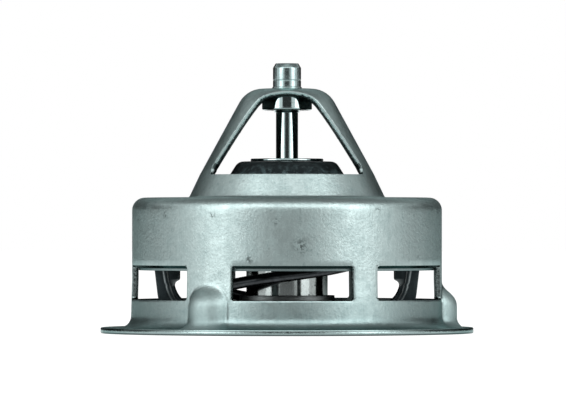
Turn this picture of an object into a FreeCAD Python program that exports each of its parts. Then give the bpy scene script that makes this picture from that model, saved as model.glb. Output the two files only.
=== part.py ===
"""Wax thermostat insert for an engine cooling circuit, shown closed.

Millimetres. The axis of the insert is Z, and the underside of the flange is z = 0. A strap yoke
carries a fixed piston. When the coolant is hot the wax element pushes itself down along that
piston, and takes the valve and its skirt with it: the valve opens at the foot of the cone while
the skirt closes the six windows.
"""
import FreeCAD
import Part
import math
import os

# Housing, one drawn sheet
sheet = 1.0
flange_radius = 32.5
cup_radius = 27.0
cup_height = 23.6
yoke_height = 42.6
foot_draft = 0.25
foot_draft_height = 9.4
flange_bend = 2.0
cup_corner = 2.2

# Cone and yoke on top of the cup
throat_radius = 17.1
throat_bend = 0.6
neck_radius = 15.2
neck_rise = 4.0
neck_height = cup_height + neck_rise
neck_bend = 6.0
yoke_shoulder_radius = 7.0
yoke_bend = 4.6
strap_half_width = 6.4
strap_root_fillet = 1.5

# Windows round the cup wall
window_count = 6
window_foot = 5.9
window_height = 5.9
window_corner = 0.5
wide_post_width = 8.9
narrow_post_width = 4.8

# Lugs pressed out of the wide posts
lug_count = 3
lug_reach = 2.8
lug_half_width = 3.65
lug_arch_centre = 4.9
lug_edge = 0.9
lug_flare = 1.2
lug_flare_height = 2.7
lug_flare_waist = 1.6
lug_waist_share = 0.3
lug_slope_out = 1.15
lug_slope_height = 7.75
lug_slope_bend = 2.0
lug_crown_height = 9.9
lug_root_overlap = 0.6

# Thrust pin in the top of the yoke
stem_radius = 2.45
stem_root_radius = 2.6
stem_root_rise = 0.3
land_radius = 2.95
stem_rise = 4.4
stem_chamfer_in = 0.47
stem_chamfer_down = 0.8
collar_radius = 4.35
collar_length = 2.8
collar_edge = 0.3
nose_radius = 2.3
nose_tip_radius = 2.1
nose_length = 0.4
press_gap = 0.01

# Piston
piston_radius = 1.925
piston_chamfer = 0.2
socket_depth = 2.4
running_gap = 0.035

# Wax element
cup_wall = 0.7
element_radius = 7.1
element_foot = 0.8
element_foot_bend = 1.5
rim_radius = 9.4
rim_shelf_height = 13.8
plug_length = 2.16
rim_bend = 1.0
shelf_bend = 0.3
rim_mouth_radius = 6.9
diaphragm_thickness = 0.7
guide_flange_thickness = 1.2
guide_radius = 5.0
guide_bend = 0.5
stack_edge = 0.35
funnel_radius = 4.6
funnel_depth = 1.2
creep_washer_thickness = 0.4
fill_gap = 0.02
seal_radius = 2.85
seal_length = 1.2
seal_cover = 0.45
seal_edge = 0.25

# Valve plate, its rubber and the ring that holds them
valve_rise = 6.3
valve_top = cup_height + valve_rise
rubber_thickness = 0.7
slide_sheet = 0.8
dome_top_radius = 8.5
dome_foot_radius = 11.9
brim_rise = 1.0
brim_height = cup_height + brim_rise
dome_top_bend = 0.9
dome_foot_bend = 2.0
seat_gap = 0.2
step_radius = 15.2
step_bend = 1.2
web_drop = 2.4
web_height = cup_height - web_drop
web_bend = 0.6
skirt_gap = 0.15
skirt_corner = 1.8
skirt_show = 0.65
port_count = 4
port_inner_radius = 17.2
port_outer_radius = 24.2
port_angle = 60.0
port_corner = 1.2
hub_radius = 3.45
ring_radius = 6.35
ring_thickness = 0.5
ring_edge = 0.12

# Lower bridge, a strap folded up round the element
bridge_sheet = 1.0
bridge_foot = 2.7
bridge_half_width = 5.2
spring_seat_radius = 13.2
guide_gap = 0.2
bridge_collar_wall = 1.1
bridge_collar_rise = 3.9
bridge_collar_lip = 0.5
bridge_collar_root = 0.5
leg_gap = 1.95
leg_reach = cup_radius - sheet - skirt_gap - slide_sheet - leg_gap
leg_foot_draw = 1.1
leg_foot_reach = leg_reach - leg_foot_draw
leg_foot_bend = 4.5
leg_knee_rise = 9.3
leg_knee_bend = 20.0
leg_top_bend = 2.0
foot_length = 4.5
lip_rise = 11.3
lip_top_slope = 1.5
lip_top_bend = 1.0
lip_reach = 4.4
lip_shoulder_rise = 6.6
lip_shoulder_bend = 0.2
lip_waist = 3.3
lip_waist_rise = 6.0
lip_waist_bend = 0.8
lip_heel_reach = 4.1
lip_heel_rise = 3.6
lip_heel_bend = 4.0
lip_toe_reach = 8.1

# Main spring
wire_radius = 1.0
spring_foot_radius = 11.0
spring_head_radius = 13.0
spring_pitch = 10.0
dead_turn = 0.75
easing_turn = 0.15
spring_seat_gap = 0.05
front_strand_rise = 7.35
steps_per_turn = 16

AXIS = FreeCAD.Vector(0, 0, 1)
ORIGIN = FreeCAD.Vector(0, 0, 0)
FULL_TURN = 360.0


# Outlines

def offset_corners(corners, distance):
    """The same bent line moved sideways to its left, each bend keeping its centre."""
    lines = []
    for (x1, z1, *_), (x2, z2, *_) in zip(corners, corners[1:]):
        length = math.hypot(x2 - x1, z2 - z1)
        along = ((x2 - x1) / length, (z2 - z1) / length)
        start = (x1 - along[1] * distance, z1 + along[0] * distance)
        lines.append((start, along))
    moved = [(*lines[0][0], 0.0)]
    for corner, (start, along), (next_start, next_along) in zip(corners[1:], lines, lines[1:]):
        turn = along[0] * next_along[1] - along[1] * next_along[0]
        gap = (next_start[0] - start[0], next_start[1] - start[1])
        reach = (gap[0] * next_along[1] - gap[1] * next_along[0]) / turn
        bend = corner[2] if len(corner) > 2 else 0.0
        if bend:
            bend = max(bend - distance * math.copysign(1.0, turn), 0.0)
        moved.append((start[0] + along[0] * reach, start[1] + along[1] * reach, bend))
    last_start, last_along = lines[-1]
    last_length = math.hypot(corners[-1][0] - corners[-2][0], corners[-1][1] - corners[-2][1])
    moved.append((last_start[0] + last_along[0] * last_length,
                  last_start[1] + last_along[1] * last_length, 0.0))
    return moved


def sheet_outline(skin, thickness):
    """Closed outline of a sheet whose one skin is given and whose wall lies to its left."""
    return list(skin) + offset_corners(skin, thickness)[::-1]


def outline_face(corners, place):
    """A flat face whose corners carry their own bend radius; place maps (u, v) to a point."""
    points = [corner[:2] for corner in corners]
    bends = [corner[2] if len(corner) > 2 else 0.0 for corner in corners]
    count = len(points)
    arcs = []
    for i, (x, z) in enumerate(points):
        if not bends[i]:
            arcs.append(((x, z), None, (x, z)))
            continue
        before = unit(points[i - 1][0] - x, points[i - 1][1] - z)
        after = unit(points[(i + 1) % count][0] - x, points[(i + 1) % count][1] - z)
        half = math.acos(max(-1.0, min(1.0, before[0] * after[0] + before[1] * after[1]))) / 2
        cut = bends[i] / math.tan(half)
        middle = unit(before[0] + after[0], before[1] + after[1])
        crown = bends[i] / math.sin(half) - bends[i]
        arcs.append(((x + before[0] * cut, z + before[1] * cut),
                     (x + middle[0] * crown, z + middle[1] * crown),
                     (x + after[0] * cut, z + after[1] * cut)))
    edges = []
    for i, (enter, crown, leave) in enumerate(arcs):
        if crown:
            edges.append(Part.Arc(place(*enter), place(*crown), place(*leave)).toShape())
        start = place(*leave)
        end = place(*arcs[(i + 1) % count][0])
        if start.distanceToPoint(end) > 1e-6:
            edges.append(Part.makeLine(start, end))
    return Part.Face(Part.Wire(Part.__sortEdges__(edges)))


def unit(x, z):
    """A direction of length one."""
    length = math.hypot(x, z)
    return (x / length, z / length)


def in_section(x, z):
    """A point of the XZ section."""
    return FreeCAD.Vector(x, 0, z)


def turned(corners):
    """A solid of revolution about Z from (radius, height, bend) corners."""
    return outline_face(corners, in_section).revolve(ORIGIN, AXIS, FULL_TURN)


def sector(inner, outer, foot, top, angle, corner):
    """A ring segment centred on +X whose four radial edges are rounded."""
    corners = [(inner, foot), (outer, foot), (outer, top), (inner, top)]
    section = turned_about_axis(outline_face(corners, in_section), -angle / 2)
    block = section.revolve(ORIGIN, AXIS, angle)
    radial = [edge for edge in block.Edges if is_radial(edge, outer - inner)]
    return block.makeFillet(corner, radial)


def is_radial(edge, length):
    """True for the straight edges that run outwards from the axis."""
    start, end = edge.Vertexes[0].Point, edge.Vertexes[-1].Point
    return abs(edge.Length - length) < 1e-3 and abs(start.z - end.z) < 1e-6


def turned_about_axis(shape, angle):
    """A copy of the shape swung round Z."""
    swung = shape.copy()
    swung.rotate(ORIGIN, AXIS, angle)
    return swung


def slab(x_size, y_size, z_size, x_middle, y_middle, z_foot):
    """A box placed by the middle of its underside."""
    corner = FreeCAD.Vector(x_middle - x_size / 2, y_middle - y_size / 2, z_foot)
    return Part.makeBox(x_size, y_size, z_size, corner)


# Housing

def housing_skin():
    """Outer skin from the flange rim up the cup and the cone to the pin hole."""
    foot_radius = cup_radius + foot_draft
    return [
        (flange_radius, sheet),
        (foot_radius, sheet, flange_bend),
        (cup_radius, foot_draft_height),
        (cup_radius, cup_height, cup_corner),
        (throat_radius, cup_height, throat_bend),
        (neck_radius, neck_height, neck_bend),
        (yoke_shoulder_radius, yoke_height, yoke_bend),
        (land_radius + press_gap, yoke_height),
    ]


def yoke_openings():
    """What is cut away in front of and behind the strap, down to the neck."""
    depth = throat_radius + sheet
    rise = yoke_height - neck_height + 2 * sheet
    blocks = []
    for side in (1, -1):
        middle = side * (strap_half_width + depth / 2)
        block = slab(4 * depth, depth, rise, 0, middle, neck_height)
        root = [edge for edge in block.Edges
                if abs(edge.CenterOfMass.y - side * strap_half_width) < 1e-6
                and abs(edge.CenterOfMass.z - neck_height) < 1e-6]
        blocks.append(block.makeFillet(strap_root_fillet, root))
    return blocks


def windows():
    """Six openings between three wide and three narrow posts."""
    pitch = FULL_TURN / window_count
    wide_half = math.degrees(wide_post_width / 2 / cup_radius)
    narrow_half = math.degrees(narrow_post_width / 2 / cup_radius)
    inner = cup_radius - 2 * sheet
    outer = cup_radius + sheet
    opening = sector(inner, outer, window_foot, window_foot + window_height,
                     pitch - wide_half - narrow_half, window_corner)
    cuts = []
    for number in range(window_count):
        lean = (wide_half - narrow_half) / 2
        if number % 2:
            lean = -lean
        cuts.append(turned_about_axis(opening, (number + 0.5) * pitch + lean))
    return cuts


def lug_plan(height, flare, half_width, reach, root):
    """Plan outline of a lug on +X at one height: a box with rounded outer corners."""
    corners = [
        (root, -half_width - flare),
        (reach + flare, -half_width - flare, lug_edge),
        (reach + flare, half_width + flare, lug_edge),
        (root, half_width + flare),
    ]
    return outline_face(corners, lambda x, y: FreeCAD.Vector(x, y, height))


def lug_slope(inset, foot):
    """Side view of what a lug keeps: all below a slope that ends steeply at the cup wall."""
    inner = cup_radius - 4 * sheet
    outer = cup_radius + lug_reach + 2 * lug_flare
    bend_reach = cup_radius + lug_slope_out - inset
    bend_height = lug_slope_height - inset
    drop = outer - bend_reach
    corners = [
        (inner, foot),
        (outer, foot),
        (outer, bend_height - drop),
        (bend_reach, bend_height, lug_slope_bend),
        (cup_radius - inset, lug_crown_height - inset),
        (inner, lug_crown_height - inset),
    ]
    side = outline_face(corners, in_section)
    depth = 2 * (lug_half_width + 2 * lug_flare)
    side.translate(FreeCAD.Vector(0, -depth / 2, 0))
    return side.extrude(FreeCAD.Vector(0, depth, 0))


def lug_body(inset, foot):
    """A thumb shape with a flared root, drawn in all round by the inset."""
    half_width = lug_half_width - inset
    reach = cup_radius + lug_reach - inset
    root = cup_radius - sheet - inset - lug_root_overlap
    size = (half_width, reach, root)
    levels = [(foot, lug_flare), (lug_flare_waist, lug_waist_share * lug_flare),
              (lug_flare_height, 0.0)]
    flared = Part.makeLoft([lug_plan(z, flare, *size).OuterWire for z, flare in levels], True)
    rise = FreeCAD.Vector(0, 0, lug_arch_centre - lug_flare_height)
    block = lug_plan(lug_flare_height, 0.0, *size).extrude(rise)
    half_plan = outline_face([(root, 0), (reach, 0), (reach, half_width, lug_edge),
                              (root, half_width)],
                             lambda x, y: FreeCAD.Vector(x, y, lug_arch_centre))
    middle = FreeCAD.Vector(0, 0, lug_arch_centre)
    arch = half_plan.revolve(middle, FreeCAD.Vector(1, 0, 0), FULL_TURN / 2)
    return flared.fuse([block, arch]).common(lug_slope(inset, foot))


def make_housing():
    """Flange, cup, cone and yoke in one sheet, with lugs, windows and yoke openings."""
    shell = turned(sheet_outline(housing_skin(), sheet))
    bore = Part.makeCylinder(cup_radius - sheet, cup_height / 2)
    outside = lug_body(0.0, sheet / 2)
    inside = lug_body(sheet, -sheet / 4)
    for number in range(lug_count):
        angle = number * FULL_TURN / lug_count
        shell = shell.fuse(turned_about_axis(outside, angle))
    shell = shell.cut(bore)
    for number in range(lug_count):
        angle = number * FULL_TURN / lug_count
        shell = shell.cut(turned_about_axis(inside, angle))
    shell = shell.cut(windows())
    shell = shell.cut(yoke_openings())
    return shell.removeSplitter()


# Pin and piston

def make_thrust_pin():
    """Stem above the yoke, collar below it and a nose that holds the piston."""
    underside = yoke_height - sheet
    collar_foot = underside - collar_length
    nose_foot = collar_foot - nose_length
    top = yoke_height + stem_rise
    socket_radius = piston_radius + press_gap
    return turned([
        (0, nose_foot + socket_depth),
        (socket_radius, nose_foot + socket_depth),
        (socket_radius, nose_foot),
        (nose_tip_radius, nose_foot),
        (nose_radius, collar_foot),
        (collar_radius, collar_foot, collar_edge),
        (collar_radius, underside - collar_edge),
        (collar_radius - collar_edge, underside),
        (land_radius, underside),
        (land_radius, yoke_height),
        (stem_root_radius, yoke_height),
        (stem_radius, yoke_height + stem_root_rise),
        (stem_radius, top - stem_chamfer_down),
        (stem_radius - stem_chamfer_in, top),
        (0, top),
    ])


def make_piston():
    """Round rod from the socket in the pin down into the guide sleeve."""
    foot = plug_levels()[2]
    top = yoke_height - sheet - collar_length - nose_length + socket_depth
    return turned([
        (0, foot),
        (piston_radius - piston_chamfer, foot),
        (piston_radius, foot + piston_chamfer),
        (piston_radius, top - piston_chamfer),
        (piston_radius - piston_chamfer, top),
        (0, top),
    ])


# Wax element

def element_levels():
    """Heights of what is stacked inside the crimped rim of the element."""
    diaphragm_foot = rim_shelf_height + cup_wall
    guide_foot = diaphragm_foot + diaphragm_thickness
    lip_foot = guide_foot + guide_flange_thickness
    return diaphragm_foot, guide_foot, lip_foot


def plug_levels():
    """Foot and top of the rubber plug, and the height at which the piston starts."""
    foot = element_levels()[1] + funnel_depth + fill_gap
    top = foot + plug_length
    return foot, top, top + fill_gap + creep_washer_thickness


def make_wax_cup():
    """Deep cup with a shelf and a rim rolled in over the guide sleeve."""
    lip_top_height = element_levels()[2] + cup_wall
    skin = [
        (0, element_foot),
        (element_radius, element_foot, element_foot_bend),
        (element_radius, rim_shelf_height, shelf_bend),
        (rim_radius, rim_shelf_height, rim_bend),
        (rim_radius, lip_top_height, rim_bend),
        (rim_mouth_radius, lip_top_height),
    ]
    return turned(sheet_outline(skin, cup_wall))


def make_wax_charge():
    """Wax that fills the cup below the diaphragm."""
    radius = element_radius - cup_wall - fill_gap
    foot = element_foot + cup_wall + fill_gap
    return turned([
        (0, foot),
        (radius, foot, element_foot_bend - cup_wall),
        (radius, element_levels()[0] - fill_gap),
        (0, element_levels()[0] - fill_gap),
    ])


def make_diaphragm():
    """Rubber disc with a raised middle that stands in the funnel of the guide."""
    foot, top, _ = element_levels()
    radius = rim_radius - cup_wall - fill_gap
    crown = top + funnel_depth - fill_gap
    return turned([
        (0, foot),
        (radius, foot, stack_edge),
        (radius, top),
        (funnel_radius - fill_gap, top),
        (piston_radius, crown),
        (0, crown),
    ])


def make_guide_sleeve():
    """Flanged sleeve that runs on the piston and carries the valve on its neck."""
    _, foot, lip_foot = element_levels()
    bore = piston_radius + running_gap
    hub_foot = valve_top - rubber_thickness - slide_sheet
    top = valve_top + ring_thickness
    seal_top = top - seal_cover
    return turned([
        (funnel_radius, foot),
        (rim_radius - cup_wall - fill_gap, foot),
        (rim_radius - cup_wall - fill_gap, lip_foot, stack_edge),
        (guide_radius, lip_foot, guide_bend),
        (guide_radius, hub_foot),
        (hub_radius, hub_foot),
        (hub_radius, top),
        (bore, top),
        (bore, seal_top),
        (seal_radius, seal_top),
        (seal_radius, seal_top - seal_length),
        (bore, seal_top - seal_length),
        (bore, foot + funnel_depth),
    ])


def make_piston_seal():
    """Wiper ring in the groove at the mouth of the guide sleeve."""
    top = valve_top + ring_thickness - seal_cover - fill_gap
    inner = piston_radius + fill_gap
    outer = seal_radius - fill_gap
    foot = top - seal_length + 2 * fill_gap
    corners = [(inner, foot), (outer, foot), (outer, top), (inner, top)]
    return turned([(*corner, seal_edge) for corner in corners])


def make_rubber_plug():
    """Short rubber rod between the diaphragm and the washer under the piston."""
    foot, top, _ = plug_levels()
    return turned([(0, foot), (piston_radius, foot), (piston_radius, top), (0, top)])


def make_anti_extrusion_washer():
    """Thin disc between the plug and the end of the piston."""
    piston_foot = plug_levels()[2]
    top = piston_foot - fill_gap / 2
    foot = piston_foot - creep_washer_thickness
    return turned([(0, foot), (piston_radius, foot), (piston_radius, top), (0, top)])


# Valve

def seat_radius(height):
    """Inner radius of the housing neck, where the rubber seats, at a height."""
    lean = (throat_radius - neck_radius) / (neck_height - cup_height)
    wall = sheet * math.sqrt(1 + lean * lean)
    return throat_radius - lean * (height - cup_height) - wall


def rubber_skin():
    """Top of the rubber from the hub over the dome to the sealing edge."""
    return [
        (hub_radius + press_gap, valve_top),
        (dome_top_radius, valve_top, dome_top_bend),
        (dome_foot_radius, brim_height, dome_foot_bend),
        (seat_radius(brim_height) - seat_gap, brim_height),
    ]


def make_valve_rubber():
    """Rubber layer over the dome, its edge cut parallel to the seat."""
    skin = rubber_skin()
    under = offset_corners(skin, -rubber_thickness)
    foot = brim_height - rubber_thickness
    under[-1] = (seat_radius(foot) - seat_gap, foot, 0.0)
    return turned(skin + under[::-1])


def make_slide_valve():
    """Drawn valve plate: hub, dome, step, web with four ports, and the sliding skirt."""
    dome = offset_corners(rubber_skin(), -rubber_thickness)[:-1]
    skirt_radius = cup_radius - sheet - skirt_gap
    skin = dome + [
        (step_radius, brim_height - rubber_thickness, step_bend),
        (step_radius, web_height, web_bend),
        (skirt_radius, web_height, skirt_corner),
        (skirt_radius, window_foot + window_height - skirt_show),
    ]
    plate = turned(sheet_outline(skin, -slide_sheet))
    port = sector(port_inner_radius, port_outer_radius, web_height - 2 * skirt_corner,
                  web_height + slide_sheet, port_angle, port_corner)
    pitch = FULL_TURN / port_count
    ports = [turned_about_axis(port, number * pitch) for number in range(port_count)]
    return plate.cut(ports)


def make_retaining_washer():
    """Bright ring that holds the valve on the neck of the guide sleeve."""
    top = valve_top + ring_thickness
    return turned([
        (hub_radius + press_gap, valve_top),
        (ring_radius, valve_top, ring_edge),
        (ring_radius, top, ring_edge),
        (hub_radius + press_gap, top),
    ])


# Lower bridge

def leg_skin():
    """Outer skin of one leg from the middle plate up to its welded foot."""
    top = cup_height - sheet
    return [
        (spring_seat_radius - 3 * bridge_sheet, bridge_foot),
        (leg_foot_reach, bridge_foot, leg_foot_bend),
        (leg_reach, bridge_foot + leg_knee_rise, leg_knee_bend),
        (leg_reach, top, leg_top_bend),
        (leg_reach - foot_length, top),
    ]


def lip_outline():
    """Side lip of a leg: its outer edge follows the strap, its inner edge has a shoulder."""
    inner = leg_reach - lip_reach
    lip_top = bridge_foot + lip_rise
    return [
        (leg_reach - lip_toe_reach, bridge_foot),
        (leg_foot_reach, bridge_foot, leg_foot_bend),
        (leg_reach, bridge_foot + leg_knee_rise, leg_knee_bend),
        (leg_reach, lip_top),
        (leg_reach - bridge_sheet, lip_top),
        (inner, lip_top - lip_top_slope, lip_top_bend),
        (inner, bridge_foot + lip_shoulder_rise, lip_shoulder_bend),
        (leg_reach - lip_waist, bridge_foot + lip_waist_rise, lip_waist_bend),
        (leg_reach - lip_heel_reach, bridge_foot + lip_heel_rise, lip_heel_bend),
        (leg_reach - lip_toe_reach, bridge_foot + bridge_sheet),
    ]


def make_lower_bridge():
    """Plate with a plunged collar, and two lipped legs whose feet meet the cup's roof."""
    bore = element_radius + guide_gap
    collar_outer = bore + bridge_collar_wall
    plate_top = bridge_foot + bridge_sheet
    hub = turned([
        (bore, bridge_foot, bridge_collar_lip),
        (spring_seat_radius, bridge_foot),
        (spring_seat_radius, plate_top),
        (collar_outer, plate_top, bridge_collar_root),
        (collar_outer, bridge_foot + bridge_collar_rise, bridge_collar_lip),
        (bore, bridge_foot + bridge_collar_rise, bridge_collar_lip),
    ])
    strap = outline_face(sheet_outline(leg_skin(), bridge_sheet), in_section)
    strap.translate(FreeCAD.Vector(0, -bridge_half_width, 0))
    leg = strap.extrude(FreeCAD.Vector(0, 2 * bridge_half_width, 0))
    lip = outline_face(lip_outline(), in_section).extrude(FreeCAD.Vector(0, bridge_sheet, 0))
    for edge in (-bridge_half_width, bridge_half_width - bridge_sheet):
        side = lip.copy()
        side.translate(FreeCAD.Vector(0, edge, 0))
        leg = leg.fuse(side)
    leg = leg.removeSplitter()
    bridge = hub.fuse([leg, turned_about_axis(leg, FULL_TURN / 2)])
    return bridge.removeSplitter()


# Main spring

def eased(turn, active):
    """How far a turn has climbed, with a soft start and a soft end to the climb."""
    low = min(max(turn + easing_turn, 0.0), 2 * easing_turn)
    high = min(max(turn - active + easing_turn, 0.0), 2 * easing_turn)
    straight = min(max(turn - easing_turn, 0.0), active - 2 * easing_turn)
    return (low ** 2 - high ** 2) / (4 * easing_turn) + high + straight


def spring_line():
    """Centre line of the wire: a flat end turn, a widening helix and a flat end turn."""
    foot = bridge_foot + bridge_sheet + spring_seat_gap + wire_radius
    head = brim_height - rubber_thickness - slide_sheet - spring_seat_gap - wire_radius
    active = (head - foot) / spring_pitch
    front_turn = (bridge_foot + front_strand_rise - foot) / spring_pitch
    first_angle = -90.0 - FULL_TURN * (front_turn + dead_turn)
    total = active + 2 * dead_turn
    count = round(total * steps_per_turn)
    points = []
    for step in range(count + 1):
        turn = total * step / count
        share = eased(turn - dead_turn, active) / active
        radius = spring_foot_radius + (spring_head_radius - spring_foot_radius) * share
        angle = math.radians(first_angle + FULL_TURN * turn)
        height = foot + (head - foot) * share
        points.append(FreeCAD.Vector(radius * math.cos(angle), radius * math.sin(angle), height))
    return points


def make_main_spring():
    """Right hand spring that presses the valve up against its seat."""
    points = spring_line()
    curve = Part.BSplineCurve()
    curve.interpolate(points)
    path = Part.Wire(curve.toShape())
    circle = Part.makeCircle(wire_radius, points[0], curve.tangent(curve.FirstParameter)[0])
    return path.makePipeShell([Part.Wire(circle)], True, True)


MAKERS = {
    "housing": make_housing,
    "thrust_pin": make_thrust_pin,
    "piston": make_piston,
    "lower_bridge": make_lower_bridge,
    "main_spring": make_main_spring,
    "slide_valve": make_slide_valve,
    "valve_rubber": make_valve_rubber,
    "retaining_washer": make_retaining_washer,
    "wax_cup": make_wax_cup,
    "wax_charge": make_wax_charge,
    "diaphragm": make_diaphragm,
    "guide_sleeve": make_guide_sleeve,
    "piston_seal": make_piston_seal,
    "rubber_plug": make_rubber_plug,
    "anti_extrusion_washer": make_anti_extrusion_washer,
}


def main():
    """Write each piece to its own file."""
    os.makedirs("parts", exist_ok=True)
    for name, make in MAKERS.items():
        shape = make()
        if not shape.isValid() or shape.Volume <= 0 or len(shape.Solids) != 1:
            raise ValueError(f"{name} is not one sound solid")
        shape.exportStep(f"parts/{name}.step")
        print(name, "volume", round(shape.Volume, 2), "faces", len(shape.Faces))


if __name__ == "__main__":
    main()
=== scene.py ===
import math

import bmesh
import bpy
from bpy.props import FloatProperty, FloatVectorProperty, IntProperty, PointerProperty
from mathutils import Matrix, Vector


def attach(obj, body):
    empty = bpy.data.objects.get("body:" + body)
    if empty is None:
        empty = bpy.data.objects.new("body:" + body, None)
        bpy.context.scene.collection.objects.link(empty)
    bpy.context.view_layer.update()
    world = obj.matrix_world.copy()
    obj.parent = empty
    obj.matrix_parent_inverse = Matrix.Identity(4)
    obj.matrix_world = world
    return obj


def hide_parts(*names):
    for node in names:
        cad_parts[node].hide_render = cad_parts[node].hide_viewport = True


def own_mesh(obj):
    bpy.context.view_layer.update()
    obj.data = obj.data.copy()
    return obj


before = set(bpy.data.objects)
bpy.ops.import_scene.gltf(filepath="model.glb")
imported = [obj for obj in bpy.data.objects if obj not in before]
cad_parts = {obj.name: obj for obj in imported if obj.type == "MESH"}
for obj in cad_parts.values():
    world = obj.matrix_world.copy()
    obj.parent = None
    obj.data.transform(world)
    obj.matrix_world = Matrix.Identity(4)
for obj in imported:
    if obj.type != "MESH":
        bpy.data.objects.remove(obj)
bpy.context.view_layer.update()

bl_info = {
    "name": "Wax Insert Looks",
    "version": (1, 0, 0),
    "blender": (4, 5, 0),
    "location": "View3D > Sidebar > Wax Insert",
    "description": "Drawn steel housing, valve, bridge, spring and wax element of a coolant insert",
    "category": "Object",
}

MM = 0.001
FULL_TURN = 2 * math.pi
# Differences below which two values count as one
NEAR = 1e-6
TINY = 1e-7
UP = Vector((0, 0, 1))
PHOTO_SIZE = (566, 400)
SHEET_FINISH = "satin drawn steel"
# Painted shade: the valve plate's finish is a darker copy of the drawn steel, for where it sits in
# the housing's shade
VALVE_FINISH = "drawn valve steel"
# Painted shade: the bridge's finish is the drawn steel made nearly black, for where it sits inside
# the cup
BRIDGE_FINISH = "dark bridge steel"
PIN_FINISH = "turned steel"
COLLAR_FINISH = "polished steel"
SPRING_FINISH = "oiled spring wire"
SHELL_FINISH = "plated element shell"
BRASS_FINISH = "turned brass"
RUBBER_FINISH = "moulded rubber"
INNER_RUBBER_FINISH = "inner rubber"
WAX_FINISH = "copper wax"
SLIP_FINISH = "slip plastic"


def length(name, description, millimetres):
    """A size that the panel shows in the scene's units."""
    return FloatProperty(name=name, description=description, default=millimetres * MM,
                         unit="LENGTH")


def colour(name, description, value):
    """A colour of a finish."""
    return FloatVectorProperty(name=name, description=description, default=value,
                               subtype="COLOR", size=3, min=0, max=1)


# Sizes and colours

class HousingSizes(bpy.types.PropertyGroup):
    """Flange, cup, cone and yoke drawn from one sheet"""
    sheet: length("Sheet", "Thickness of the drawn sheet", 1.0)
    flange_radius: length("Flange radius", "Radius of the flange's sheared rim", 32.5)
    flange_bend: length("Flange bend", "Outer bend from the flange into the wall", 2.0)
    cup_radius: length("Cup radius", "Outer radius of the cup wall", 27.0)
    cup_height: length("Cup height", "Height of the cup's flat roof", 23.6)
    cup_corner: length("Cup corner", "Bend between the wall and the roof", 2.2)
    foot_draft: length("Foot draft", "How much wider the wall is at the flange", 0.25)
    draft_height: length("Draft height", "Height at which the wall turns upright", 9.4)
    throat_radius: length("Throat radius", "Foot of the cone on the roof", 17.1)
    throat_bend: length("Throat bend", "Bend between the roof and the cone", 0.6)
    neck_radius: length("Neck radius", "Radius of the cone at the foot of the yoke", 15.2)
    neck_height: length("Neck height", "Height at which the yoke starts", 27.6)
    neck_bend: length("Neck bend", "Bend of the cone at the neck", 6.0)
    yoke_shoulder: length("Yoke shoulder", "Radius at which the yoke turns flat", 7.0)
    yoke_height: length("Yoke height", "Top of the yoke", 42.6)
    yoke_bend: length("Yoke bend", "Bend at the shoulder of the yoke", 4.6)
    strap_half_width: length("Strap half width", "Half the width of the yoke's strap", 6.4)
    strap_fillet: length("Strap fillet", "Inner corner where the strap leaves the neck", 1.5)
    pin_hole: length("Pin hole", "Radius of the hole for the thrust pin", 2.96)
    window_foot: length("Window foot", "Lower edge of the windows", 5.9)
    window_top: length("Window top", "Upper edge of the windows", 11.8)
    window_corner: length("Window corner", "Corner radius of the windows", 0.5)
    wide_post: length("Wide post", "Width of the posts that carry a lug", 8.9)
    narrow_post: length("Narrow post", "Width of the plain posts", 4.8)
    window_draft: length("Window draft", "How far the punch pulls the top edge down", 0.45)
    edge_round: length("Edge round", "Rounding of the sheared edges", 0.18)


class LugSizes(bpy.types.PropertyGroup):
    """Lugs pressed out of the wide posts"""
    count: IntProperty(
        name="Lugs", description="Number of lugs, one to each wide post", default=3, min=1)
    reach: length("Reach", "How far a lug stands out of the wall", 2.65)
    half_width: length("Half width", "Half the width of a lug and radius of its arch", 3.8)
    arch_centre: length("Arch centre", "Height of the centre of the arch", 4.9)
    crown: length("Crown", "Height at which the slope leaves the wall", 8.9)
    shoulder: length("Shoulder", "Height at which the slope meets the face", 6.1)
    crown_bend: length("Crown bend", "Hollow bend between the wall and the slope", 4.6)
    shoulder_bend: length("Shoulder bend", "Bend between the slope and the face", 4.0)
    flare: length("Flare", "How far the root spreads on the flange", 1.0)
    flare_height: length("Flare height", "Height at which the root's spread ends", 2.6)
    wall: length("Wall", "Width over which the side of a lug rounds off", 3.5)


class ValveSizes(bpy.types.PropertyGroup):
    """Valve plate with its skirt, the rubber and the bright ring"""
    top: length("Top", "Top of the rubber under the ring", 29.9)
    rubber: length("Rubber", "Thickness of the rubber", 0.7)
    plate: length("Plate", "Sheet of the valve plate", 0.8)
    hub_radius: length("Hub radius", "Neck of the guide sleeve in the valve", 3.46)
    dome_top: length("Dome top", "Radius of the flat top of the dome", 8.5)
    dome_top_bend: length("Dome top bend", "Bend round the top of the dome", 1.6)
    dome_foot: length("Dome foot", "Radius of the dome at the brim", 11.9)
    dome_foot_bend: length("Dome foot bend", "Bend from the dome into the brim", 2.0)
    brim_height: length("Brim height", "Top of the rubber's brim", 24.6)
    seal_top: length("Seal top", "Radius of the rubber's edge on top", 15.32)
    seal_foot: length("Seal foot", "Radius of the rubber's edge below", 15.65)
    step_radius: length("Step radius", "Radius of the step under the brim", 15.2)
    step_bend: length("Step bend", "Bend at the top of the step", 1.2)
    web_height: length("Web height", "Top of the web with the ports", 21.2)
    web_bend: length("Web bend", "Bend from the step into the web", 0.6)
    skirt_radius: length("Skirt radius", "Outer radius of the skirt", 25.85)
    skirt_corner: length("Skirt corner", "Bend from the web into the skirt", 1.8)
    skirt_foot: length("Skirt foot", "Lower edge of the skirt when closed", 10.95)
    port_inner: length("Port inner radius", "Inner edge of the ports", 17.2)
    port_outer: length("Port outer radius", "Outer edge of the ports", 24.2)
    port_angle: FloatProperty(
        name="Port angle", description="Angle that a port spans", default=math.radians(60),
        subtype="ANGLE")
    port_corner: length("Port corner", "Corner radius of the ports", 1.2)
    ports: IntProperty(name="Ports", description="Number of ports", default=4, min=1)
    ring_radius: length("Ring radius", "Radius of the bright ring on top", 6.35)
    ring: length("Ring", "Thickness of the bright ring", 0.5)


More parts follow.
